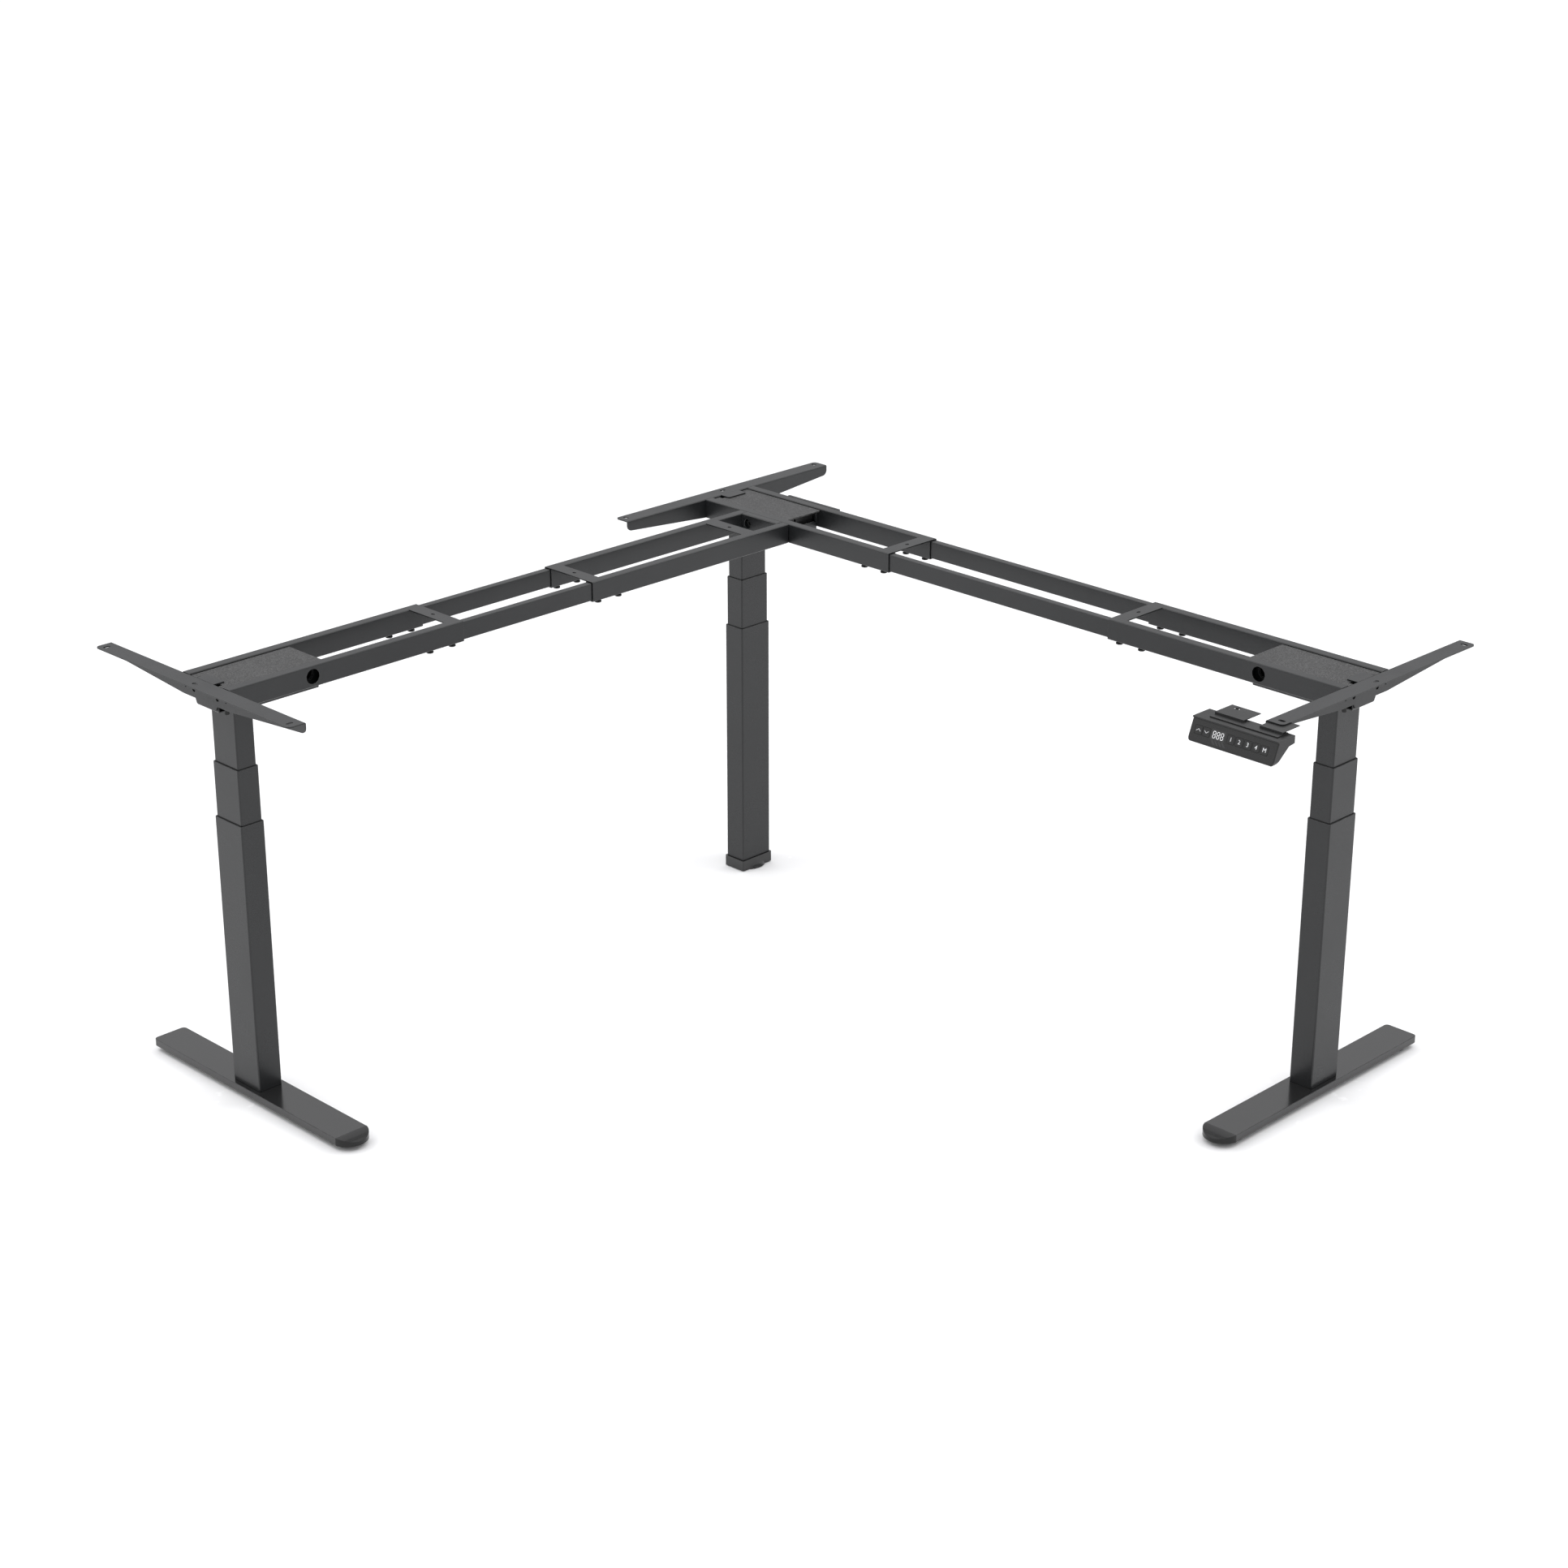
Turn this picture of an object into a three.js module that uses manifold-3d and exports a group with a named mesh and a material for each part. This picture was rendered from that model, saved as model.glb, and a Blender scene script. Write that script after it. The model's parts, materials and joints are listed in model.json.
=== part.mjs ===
// Height adjustable corner desk frame: a main arm and a return arm at a right angle, on three telescopic
// columns with feet, with sliding rails in both arms and a keypad at the user's side.
//
// Millimetres, +Z up. The corner column's axis is the Z axis and the floor is z = 0. The main arm runs
// along +X and the return arm along -Y. The desk stands at the height it is stored at, and its arms at the
// width it is stored at.
import * as THREE from "three";
import { mergeVertices } from "three/addons/utils/BufferGeometryUtils.js";
import Module from "manifold-3d";

const wasm = await Module();
wasm.setup();

// ---------------------------------------------------------------- driving dimensions

const GAP = 0.3; // between pieces that touch

const FRAME_TOP = 825; // top of the rails above the floor
const MAIN_SPAN = 1495; // corner column to main-end column
const RETURN_SPAN = 1389; // corner column to return-end column
const RETURN_OFFSET = 123; // return arm's centre line from the corner column

const RAIL = { width: 20, height: 40, wall: 1.5, corner: 2.5 }; // outer rails of each arm
const SLIDER = { width: 15, height: 35, wall: 1.5, corner: 2, length: 900 }; // rails that slide inside them
const RAIL_OFFSET = 60; // rail's centre line from the arm's centre line
const CORNER_REACH = 468; // corner column to the end of the main arm's corner section
const RETURN_REACH = 599; // same, for the return arm
const LEG_REACH = 472; // end column to the free end of its section
const CLAMP_STEPS = [21, 73]; // clamp screw holes, from a section's free end
const CLAMP_HOLE = 6.6;

const STAGES = {
  outer: { wide: 80, thin: 50, wall: 2, bottom: 24.8, top: 551 },
  middle: { wide: 75, thin: 45, wall: 2, bottom: 132, top: 657 },
  inner: { wide: 70, thin: 40, wall: 2, bottom: 237, top: 771.7 },
};
const STAGE_CORNER = 3; // outside edge radius of every column tube

const FOOT = { nose: 308, flat: 278, back: 285, width: 70, bottom: 10, top: 24.5, fall: 68, corner: 8 };
const GLIDE = { radius: 25, stud: 4, offset: 250 };
const BASE = { wide: 86, thin: 56, bottom: 2, top: 24.5 };
const FLARE = { radius: 36, neck: 28, height: 18.5 }; // cone moulded into the base cap, over the pad
const PAD = { radius: 33, neck: 25 };

const TRAY = { outer: -49, inner: 154, half: 49.4, bottom: 772, top: 819, sheet: 2, flap: 800 };
const COVER = { outer: -47, inner: 165, half: 48.6, bottom: 819.4, top: 822.4, notch: 33, notchEnd: -38 };
const CABLE_HOLE = { radius: 14, reach: 128 };

const BRACKET = { half: 288, web: -50, edge: -86, sheet: 2.5, slot: 272, slotLine: -72 };
const CROSS = { depth: 30, sheet: 2.5 };
const JOINT = { depth: 15, hole: 9.5, holes: [-34, 34], height: 806 };

const KEYPAD = { length: 180, x: 1520, lip: -338, top: 816, tongueTop: 822.2 };
const BUTTON = { side: 15, thick: 3, proud: 0.5, clearance: 0.4, travel: 0.8 };

const STEEL = { color: 0x4b4c4f, roughness: 0.55, metalness: 0.35 };
const SATIN_STEEL = { color: 0x505153, roughness: 0.38, metalness: 0.35 };
const SPECKLED_STEEL = { color: 0x636363, roughness: 0.8, metalness: 0.2 };
const BARE_STEEL = { color: 0x9a9b9d, roughness: 0.35, metalness: 0.9 };
const MOTOR_BLACK = { color: 0x1d1e20, roughness: 0.5, metalness: 0.4 };
const DARK_PLASTIC = { color: 0x2b2c2e, roughness: 0.35, metalness: 0 };
const BUTTON_PLASTIC = { color: 0x38393b, roughness: 0.45, metalness: 0 };
const RUBBER = { color: 0x1b1b1c, roughness: 0.85, metalness: 0 };

// ---------------------------------------------------------------- solids

// A geometry as a closed manifold-3d solid, for joining and cutting.
function solid(geometry) {
  const bare = geometry.index ? geometry.toNonIndexed() : geometry.clone();
  bare.deleteAttribute("normal");
  bare.deleteAttribute("uv");
  const merged = mergeVertices(bare, 1e-3);
  return new wasm.Manifold(
    new wasm.Mesh({
      numProp: 3,
      vertProperties: merged.attributes.position.array,
      triVerts: new Uint32Array(merged.index.array),
    }),
  );
}

function geometryOf(manifold) {
  const mesh = manifold.getMesh();
  const geometry = new THREE.BufferGeometry();
  geometry.setAttribute("position", new THREE.BufferAttribute(mesh.vertProperties, 3));
  geometry.setIndex(new THREE.BufferAttribute(mesh.triVerts, 1));
  geometry.computeVertexNormals();
  return geometry;
}

function cut(base, tools) {
  return geometryOf(tools.reduce((left, tool) => left.subtract(solid(tool)), solid(base)));
}

function join(pieces) {
  return geometryOf(pieces.slice(1).reduce((whole, piece) => whole.add(solid(piece)), solid(pieces[0])));
}

// A box between two corners.
function block([x0, y0, z0], [x1, y1, z1]) {
  const geometry = new THREE.BoxGeometry(x1 - x0, y1 - y0, z1 - z0);
  return geometry.translate((x0 + x1) / 2, (y0 + y1) / 2, (z0 + z1) / 2);
}

// A cylinder along one axis, "x", "y" or "z", centred on a point.
function rod(axis, radius, length, [x, y, z], sides = 16, endRadius = radius) {
  const geometry = new THREE.CylinderGeometry(endRadius, radius, length, sides);
  if (axis === "x") geometry.rotateZ(-Math.PI / 2);
  if (axis === "z") geometry.rotateX(Math.PI / 2);
  return geometry.translate(x, y, z);
}

// A rectangle with round corners, as an outline in X and Y.
function roundedRectangle(width, height, radius, outline = new THREE.Shape()) {
  const x = width / 2;
  const y = height / 2;
  outline.moveTo(x, y - radius);
  outline.absarc(x - radius, y - radius, radius, 0, Math.PI / 2);
  outline.absarc(-x + radius, y - radius, radius, Math.PI / 2, Math.PI);
  outline.absarc(-x + radius, -y + radius, radius, Math.PI, 1.5 * Math.PI);
  outline.absarc(x - radius, -y + radius, radius, 1.5 * Math.PI, 2 * Math.PI);
  return outline;
}

// An outline pushed up from z = 0.
function prism(outline, depth, curveSegments = 1) {
  return new THREE.ExtrudeGeometry(outline, { depth, bevelEnabled: false, curveSegments });
}

// A rectangular tube standing on z = 0.
function tube({ width, height, wall, corner }, length) {
  const outline = roundedRectangle(width, height, corner);
  const inside = Math.max(corner - wall, 0.6);
  outline.holes.push(roundedRectangle(width - 2 * wall, height - 2 * wall, inside, new THREE.Path()));
  return prism(outline, length);
}

// A slot through a sheet, its long side along X or Y, for cutting.
function slot(axis, length, width, [x, y, z]) {
  const geometry = prism(roundedRectangle(length, width, width / 2 - 0.01), 12, 2);
  if (axis === "y") geometry.rotateZ(Math.PI / 2);
  return geometry.translate(x, y, z - 6);
}

function piece(parent, name, geometry, finish) {
  const mesh = new THREE.Mesh(geometry, new THREE.MeshStandardMaterial(finish));
  mesh.name = name;
  parent.add(mesh);
  return mesh;
}

// ---------------------------------------------------------------- columns

function columnTube({ wide, thin, wall, bottom, top }) {
  const size = { width: thin, height: wide, wall, corner: STAGE_CORNER };
  return tube(size, top - bottom).translate(0, 0, bottom);
}

// The screw that the motor turns, hanging inside the column, with its shoulder at the top.
function leadScrew() {
  const top = TRAY.bottom + 1;
  const bottom = STAGES.inner.bottom + 20;
  const thread = rod("z", 8, top - bottom, [0, 0, (top + bottom) / 2], 16);
  const shoulder = rod("z", 11, 12, [0, 0, TRAY.bottom - 10], 16);
  return join([thread, shoulder]);
}

// Gearbox over the column with the motor lying along the arm.
function gearMotor() {
  const floor = TRAY.bottom + TRAY.sheet + GAP;
  const gearbox = block([-34, -30, floor], [34, 30, floor + 38]);
  const can = rod("x", 17, 92, [76, 0, floor + 18.5], 20);
  const cap = rod("x", 9, 8, [124, 0, floor + 18.5], 12);
  return join([gearbox, can, cap]);
}

// Folded tray between the rails that carries the gear motor, with its end flap rounded at the top
// and its lower corners cut away behind the bracket.
function gearboxTray() {
  const { outer, inner, half, bottom, top, sheet, flap } = TRAY;
  const floor = block([outer, -half, bottom], [inner, half, bottom + sheet]);
  const sides = [-1, 1].map((side) => {
    const faces = [side * half, side * (half - sheet)].sort((a, b) => a - b);
    return block([outer, faces[0], bottom], [inner, faces[1], top]);
  });
  const end = block([outer, -half, bottom], [outer + sheet, half, top]);
  const height = 2 * (flap - bottom);
  const flapOutline = roundedRectangle(2 * half, height, 10);
  const flapPlate = prism(flapOutline, sheet).rotateX(Math.PI / 2).rotateZ(Math.PI / 2);
  flapPlate.translate(inner - sheet, 0, bottom);
  const below = block([inner - 10, -60, bottom - 60], [inner + 10, 60, bottom]);
  const screwHole = rod("z", 13, 20, [0, 0, bottom]);
  const screws = [-35, 35].map((q) => rod("x", 3.3, 20, [outer, q, FRAME_TOP - 24.5], 12));
  const cable = rod("y", CABLE_HOLE.radius - 2, 200, [CABLE_HOLE.reach, 0, FRAME_TOP - RAIL.height / 2]);
  const shell = join([floor, ...sides, end, geometryOf(solid(flapPlate).subtract(solid(below)))]);
  const corners = [-1, 1].map((side) => {
    const [low, high] = [side * 31, side * 60].sort((a, b) => a - b);
    return block([outer - 1, low, bottom - 1], [-30, high, bottom + 14]);
  });
  return cut(shell, [screwHole, ...screws, cable, ...corners]);
}

function coverPlate() {
  const { outer, inner, half, bottom, top, notch, notchEnd } = COVER;
  const plate = prism(roundedRectangle(inner - outer, 2 * half, 2), top - bottom);
  plate.translate((inner + outer) / 2, 0, bottom);
  return cut(plate, [block([outer - 1, -notch, bottom - 1], [notchEnd, notch, top + 1])]);
}

// Side bracket under the desk top: a flange that points outwards, a web that tapers to both tips, and a
// tab that reaches over the cover plate.
function sideBracket() {
  const { half, web, edge, sheet, slot: slotPlace, slotLine } = BRACKET;
  const tip = FRAME_TOP - 20.5;
  const shoulder = FRAME_TOP - 39.5;
  const middle = FRAME_TOP - 48.5;
  const corner = 12;

  const face = new THREE.Shape();
  face.moveTo(-half, FRAME_TOP);
  face.lineTo(-half, tip + corner);
  face.quadraticCurveTo(-half, tip, -half + corner, tip);
  face.lineTo(-67, shoulder);
  face.lineTo(-32, shoulder);
  face.lineTo(-28, middle);
  face.lineTo(28, middle);
  face.lineTo(32, shoulder);
  face.lineTo(67, shoulder);
  face.lineTo(half - corner, tip);
  face.quadraticCurveTo(half, tip, half, tip + corner);
  face.lineTo(half, FRAME_TOP);
  const webPlate = prism(face, sheet).rotateX(Math.PI / 2).rotateZ(Math.PI / 2);
  webPlate.translate(web - sheet, 0, 0);

  const flange = prism(roundedRectangle(2 * (web - edge), 2 * half, 8), sheet);
  flange.translate(web, 0, FRAME_TOP - sheet);
  const inboard = block([web, -half - 1, FRAME_TOP - 20], [web + 60, half + 1, FRAME_TOP + 20]);
  const tab = block([web - 1, -25, COVER.top + GAP], [web + 23, 25, FRAME_TOP]);

  const places = [-slotPlace, 0, slotPlace];
  const slots = places.map((q) => slot(q ? "x" : "y", 14, 7, [slotLine, q, FRAME_TOP]));
  const holes = [-1, 1].flatMap((side) => [
    rod("x", 4.5, 20, [web, side * 35, FRAME_TOP - 24.5], 16),
    rod("x", 2.6, 20, [web, side * 60, FRAME_TOP - 23.5], 12),
  ]);
  const outside = geometryOf(solid(flange).subtract(solid(inboard)));
  return cut(join([webPlate, outside, tab]), [...slots, ...holes]);
}

// Foot bar along Y. Its nose, towards side, is round in plan and curves down; its back end is square.
function footBar(side) {
  const { nose, flat, back, width, bottom, top, fall, corner } = FOOT;
  const half = width / 2;
  const outline = new THREE.Shape();
  outline.moveTo(half, flat);
  outline.bezierCurveTo(half, nose, half / 2, nose, 0, nose);
  outline.bezierCurveTo(-half / 2, nose, -half, nose, -half, flat);
  outline.lineTo(-half, corner - back);
  outline.quadraticCurveTo(-half, -back, corner - half, -back);
  outline.lineTo(half - corner, -back);
  outline.quadraticCurveTo(half, -back, half, corner - back);
  const bar = prism(outline, top - bottom, 7).translate(0, 0, bottom);
  const crown = rod("x", fall, 90, [0, flat, top - fall], 96);
  const wedge = cut(block([-40, flat, bottom + 2], [40, nose + 10, top + 10]), [crown]);
  const studs = [-1, 1].map((end) => rod("z", GLIDE.stud + GAP, 8, [0, end * GLIDE.offset, bottom], 12));
  return cut(bar, [wedge, ...studs]).rotateZ(side > 0 ? 0 : Math.PI);
}

// Levelling glide: a round pad with its threaded stud.
function glide(x, y) {
  const height = FOOT.bottom - GAP;
  const pad = rod("z", GLIDE.radius, height - 3, [x, y, (height - 3) / 2], 24);
  const crown = rod("z", GLIDE.radius, 3, [x, y, height - 1.5], 24, GLIDE.radius - 4);
  const stud = rod("z", GLIDE.stud, 6, [x, y, height - 0.3], 12);
  return join([pad, crown, stud]);
}

// Base cap around the foot of the corner column, hollow over its levelling pad.
function cornerBase() {
  const { wide, thin, bottom, top } = BASE;
  const cap = prism(roundedRectangle(thin, wide, 3), top - bottom).translate(0, 0, bottom);
  const { radius, neck, height } = FLARE;
  const flare = rod("z", radius, height, [0, 0, bottom + height / 2], 32, neck);
  const well = rod("z", PAD.radius + 0.6, 14, [0, 0, bottom + 6], 32, PAD.neck + 0.6);
  return cut(join([cap, flare]), [well]);
}

function cornerPad() {
  return rod("z", PAD.radius, 14, [0, 0, 7], 32, PAD.neck);
}

// ---------------------------------------------------------------- rails

// A rail along X from one place to another, beside the arm's centre line.
function rail(size, from, to, side) {
  const geometry = tube(size, to - from).rotateX(Math.PI / 2).rotateZ(Math.PI / 2);
  return geometry.translate(from, side * RAIL_OFFSET, FRAME_TOP - RAIL.height / 2);
}

// Outer rail with the clamp screw holes near its free end and, where asked, a cable hole in its side.
function outerRail(from, to, side, free, cable) {
  const inward = free === to ? -1 : 1;
  const floor = FRAME_TOP - RAIL.height;
  const place = side * RAIL_OFFSET;
  const holes = CLAMP_STEPS.map((step) => {
    return rod("z", CLAMP_HOLE / 2, 6, [free + inward * step, place, floor], 12);
  });
  if (cable !== null) {
    holes.push(rod("y", CABLE_HOLE.radius, 40, [cable, place, floor + RAIL.height / 2], 24));
  }
  return cut(rail(RAIL, from, to, side), holes);
}

// Plate between the two rails of an arm, flush with their tops, with one slot in the middle.
function crossPlate(from, to) {
  const half = RAIL_OFFSET - RAIL.width / 2 - GAP;
  const plate = block([from, -half, FRAME_TOP - CROSS.sheet], [to, half, FRAME_TOP]);
  return cut(plate, [slot("y", 9, 6, [(from + to) / 2, 0, FRAME_TOP])]);
}

// Angle between the return arm's rails that its end is bolted through, against the main arm's front rail.
function jointAngle() {
  const start = RAIL_OFFSET + RAIL.width / 2 + GAP;
  const half = RAIL_OFFSET - RAIL.width / 2 - GAP;
  const floor = FRAME_TOP - RAIL.height + 2;
  const leaf = block([start + JOINT.depth - 2.5, -half, floor], [start + JOINT.depth, half, FRAME_TOP]);
  const lip = block([start, -half, FRAME_TOP - 2.5], [start + JOINT.depth, half, FRAME_TOP]);
  const back = start + JOINT.depth;
  const holes = JOINT.holes.map((place) => rod("x", JOINT.hole, 20, [back, place, JOINT.height]));
  return cut(join([leaf, lip]), holes);
}

// Seat on the rear rail for a return arm built to the other hand.
function mirrorSeat() {
  const face = RAIL_OFFSET + RAIL.width / 2 + GAP;
  const low = FRAME_TOP - RAIL.height + 2;
  const plate = block([RETURN_OFFSET - 73, face, low], [RETURN_OFFSET + 73, face + 6, FRAME_TOP]);
  const holes = JOINT.holes.map((place) => {
    return rod("y", 4.5, 30, [RETURN_OFFSET + place, face, JOINT.height], 16);
  });
  return cut(plate, holes);
}

// ---------------------------------------------------------------- keypad

const PANEL = {
  top: new THREE.Vector2(3, -3.5), // depth and height of the sloped panel's upper edge
  foot: new THREE.Vector2(-12, -40.5), // and of its lower edge
};
const PANEL_TILT = Math.atan2(PANEL.top.x - PANEL.foot.x, PANEL.top.y - PANEL.foot.y);

// Moves a geometry made on the panel, with Z out of its face and Y up its slope, to its place on it.
function onPanel(geometry, along, up) {
  const middle = PANEL.top.clone().add(PANEL.foot).multiplyScalar(0.5);
  geometry.translate(along - KEYPAD.length / 2, up, 0);
  geometry.rotateX(Math.PI / 2 - PANEL_TILT);
  return geometry.translate(KEYPAD.x, KEYPAD.lip + middle.x, KEYPAD.top + middle.y);
}

const BUTTONS = [
  ["raise", 17],
  ["lower", 33.5],
  ["preset_1", 85],
  ["preset_2", 102.5],
  ["preset_3", 120],
  ["preset_4", 137.5],
  ["memory", 155],
];
const BUTTON_UP = 1.5; // buttons sit a little above the middle of the panel

function buttonCap() {
  const cap = prism(roundedRectangle(BUTTON.side, BUTTON.side, 1.5), BUTTON.thick);
  return cap.translate(0, 0, BUTTON.proud - BUTTON.thick);
}

function buttonPocket() {
  const side = BUTTON.side + 2 * BUTTON.clearance;
  const depth = BUTTON.thick - BUTTON.proud + BUTTON.travel + GAP;
  return prism(roundedRectangle(side, side, 1.8), depth + 5).translate(0, 0, -depth);
}

// Wedge-shaped case with the lip over the panel and the lower corners rounded.
function keypadHousing() {
  const profile = new THREE.Shape();
  profile.moveTo(0, 0);
  profile.lineTo(0, -2.5);
  profile.lineTo(PANEL.top.x, PANEL.top.y);
  profile.lineTo(PANEL.foot.x, PANEL.foot.y);
  profile.lineTo(PANEL.foot.x + 1.5, PANEL.foot.y - 2);
  profile.lineTo(PANEL.foot.x + 9, PANEL.foot.y - 1);
  profile.lineTo(30, -16);
  profile.lineTo(46, -14);
  profile.lineTo(46, 0);
  const body = prism(profile, KEYPAD.length).rotateX(Math.PI / 2).rotateZ(Math.PI / 2);
  body.translate(KEYPAD.x - KEYPAD.length / 2, KEYPAD.lip, KEYPAD.top);
  const height = 90;
  const front = roundedRectangle(KEYPAD.length, height, 8);
  const trim = prism(front, 80, 2).rotateX(Math.PI / 2);
  trim.translate(KEYPAD.x, KEYPAD.lip + 60, KEYPAD.top + PANEL.foot.y - 2 + height / 2);
  const rounded = geometryOf(solid(body).intersect(solid(trim)));
  const pockets = BUTTONS.map(([, along]) => onPanel(buttonPocket(), along, BUTTON_UP));
  return cut(rounded, pockets);
}

// Bracket on the case with two raised tongues. The outer one is screwed under the side bracket's flange.
function keypadBracket() {
  const { x, lip, top, tongueTop } = KEYPAD;
  const low = top + GAP;
  const seat = block([x - 65, lip + 14, low], [x + 77, lip + 44, low + 1.5]);
  const tongues = [
    [x - 65, x - 4],
    [x + 29.5, x + 77],
  ].map(([from, to]) => {
    const riser = block([from, lip + 28, low], [to, lip + 30, tongueTop]);
    const leaf = block([from, lip + 28, tongueTop - 1.5], [to, lip + 76, tongueTop]);
    return join([riser, leaf]);
  });
  const slots = [x - 47, x + 47].map((place) => slot("x", 14, 6, [place, lip + 66, tongueTop]));
  return cut(join([seat, ...tongues]), slots);
}

// ---------------------------------------------------------------- assembly

const desk = new THREE.Group();

// The column, its drive and its bracket. In the leg's own frame +X points inboard, along its arm, and the
// user sits towards userSide along Y, or the leg stands in the corner with no foot bar where it is 0.
function addLeg(name, x, y, turn, userSide) {
  const leg = new THREE.Group();
  leg.position.set(x, y, 0);
  leg.rotation.z = turn;
  desk.add(leg);
  piece(leg, `inner_tube_${name}`, columnTube(STAGES.inner), STEEL);
  piece(leg, `middle_tube_${name}`, columnTube(STAGES.middle), STEEL);
  piece(leg, `outer_tube_${name}`, columnTube(STAGES.outer), STEEL);
  piece(leg, `lead_screw_${name}`, leadScrew(), BARE_STEEL);
  piece(leg, `gear_motor_${name}`, gearMotor(), MOTOR_BLACK);
  piece(leg, `gearbox_tray_${name}`, gearboxTray(), STEEL);
  piece(leg, `cover_plate_${name}`, coverPlate(), SPECKLED_STEEL);
  piece(leg, `side_bracket_${name}`, sideBracket(), STEEL);
  if (userSide) {
    piece(leg, `foot_bar_${name}`, footBar(userSide), SATIN_STEEL);
    piece(leg, `glide_front_${name}`, glide(0, userSide * GLIDE.offset), RUBBER);
    piece(leg, `glide_back_${name}`, glide(0, -userSide * GLIDE.offset), RUBBER);
  } else {
    piece(leg, `base_cap_${name}`, cornerBase(), SATIN_STEEL);
    piece(leg, `levelling_pad_${name}`, cornerPad(), RUBBER);
  }
}

// One arm along +X of its own group: corner section, sliding rails and end section. Its front rail is the
// one at the user's side.
function addArm(name, arm, start, cornerEnd, span, userSide) {
  const legEnd = span - LEG_REACH;
  const outerEnd = span - BRACKET.web - GAP;
  const middle = (cornerEnd + legEnd) / 2;
  const sliderEnds = [middle - SLIDER.length / 2, middle + SLIDER.length / 2];
  for (const [rank, side] of [["front", userSide], ["rear", -userSide]]) {
    const corner = outerRail(start, cornerEnd, side, cornerEnd, null);
    piece(arm, `${name}_${rank}_rail_corner`, corner, STEEL);
    piece(arm, `${name}_${rank}_slider`, rail(SLIDER, ...sliderEnds, side), STEEL);
    const end = outerRail(legEnd, outerEnd, side, legEnd, span - CABLE_HOLE.reach);
    piece(arm, `${name}_${rank}_rail_end`, end, STEEL);
  }
  piece(arm, `${name}_cross_plate_corner`, crossPlate(cornerEnd - CROSS.depth, cornerEnd), STEEL);
  piece(arm, `${name}_cross_plate_end`, crossPlate(legEnd, legEnd + CROSS.depth), STEEL);
}

addLeg("corner", 0, 0, 0, 0);
addLeg("main", MAIN_SPAN, 0, Math.PI, 1);
addLeg("return", RETURN_OFFSET, -RETURN_SPAN, Math.PI / 2, -1);

const mainArm = new THREE.Group();
desk.add(mainArm);
addArm("main", mainArm, BRACKET.web + GAP, CORNER_REACH, MAIN_SPAN, -1);
piece(mainArm, "mirror_seat_plate", mirrorSeat(), STEEL);

const returnArm = new THREE.Group();
returnArm.position.x = RETURN_OFFSET;
returnArm.rotation.z = -Math.PI / 2;
desk.add(returnArm);
addArm("return", returnArm, RAIL_OFFSET + RAIL.width / 2 + GAP, RETURN_REACH, RETURN_SPAN, 1);
piece(returnArm, "return_joint_angle", jointAngle(), STEEL);
piece(returnArm, "return_cross_plate_joint", crossPlate(153, 185), STEEL);

piece(desk, "keypad_housing", keypadHousing(), DARK_PLASTIC);
piece(desk, "keypad_bracket", keypadBracket(), DARK_PLASTIC);
for (const [name, along] of BUTTONS) {
  piece(desk, `button_${name}`, onPanel(buttonCap(), along, BUTTON_UP), BUTTON_PLASTIC);
}

export default desk;
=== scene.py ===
import json
import math

import bmesh
import bpy
from mathutils import Matrix, Vector

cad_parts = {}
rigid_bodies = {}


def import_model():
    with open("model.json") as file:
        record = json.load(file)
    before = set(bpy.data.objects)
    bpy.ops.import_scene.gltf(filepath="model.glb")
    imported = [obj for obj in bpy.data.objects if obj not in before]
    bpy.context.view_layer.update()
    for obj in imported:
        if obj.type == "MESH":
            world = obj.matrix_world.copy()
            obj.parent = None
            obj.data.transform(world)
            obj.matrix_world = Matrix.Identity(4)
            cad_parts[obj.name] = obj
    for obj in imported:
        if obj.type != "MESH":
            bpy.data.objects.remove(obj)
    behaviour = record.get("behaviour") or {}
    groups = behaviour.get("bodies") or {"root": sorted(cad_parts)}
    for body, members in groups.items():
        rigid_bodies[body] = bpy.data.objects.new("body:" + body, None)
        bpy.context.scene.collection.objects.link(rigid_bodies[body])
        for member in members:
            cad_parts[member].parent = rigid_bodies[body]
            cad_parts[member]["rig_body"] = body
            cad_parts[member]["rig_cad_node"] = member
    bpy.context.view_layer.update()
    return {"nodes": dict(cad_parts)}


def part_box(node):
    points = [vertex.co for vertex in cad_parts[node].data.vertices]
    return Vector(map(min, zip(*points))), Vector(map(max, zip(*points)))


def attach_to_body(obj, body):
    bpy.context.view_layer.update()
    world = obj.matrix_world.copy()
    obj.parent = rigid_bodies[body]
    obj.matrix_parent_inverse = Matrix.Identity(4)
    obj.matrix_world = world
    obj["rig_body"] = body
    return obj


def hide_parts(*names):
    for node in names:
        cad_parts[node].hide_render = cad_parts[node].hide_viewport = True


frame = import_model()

BODY = {name: node["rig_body"] for name, node in frame["nodes"].items()}

# ---------------------------------------------------------------- driving dimensions

TUBE_WALL = 0.002
TUBE_CORNER = 0.003
RAIL_WALL = 0.0015
RAIL_CORNER = 0.0025
SLIDER_CORNER = 0.002
SEAM = 0.0018  # shadow gap where the return arm's rails meet the main arm
SHEET = 0.0025
TRAY_SHEET = 0.002
BEND = 0.003  # outside radius of a fold

BRACKET_WEB = 0.036  # web, from the flange's free edge
BRACKET_TIP = 0.0205  # depths of the web below the flange: at its tips, beside the column and under it
BRACKET_SHOULDER = 0.0395
BRACKET_FOOT = 0.0485
SHOULDER_HALF = 0.067  # half widths of the web where it reaches those depths
FOOT_TOP_HALF = 0.032
FOOT_BOTTOM_HALF = 0.028

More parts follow.
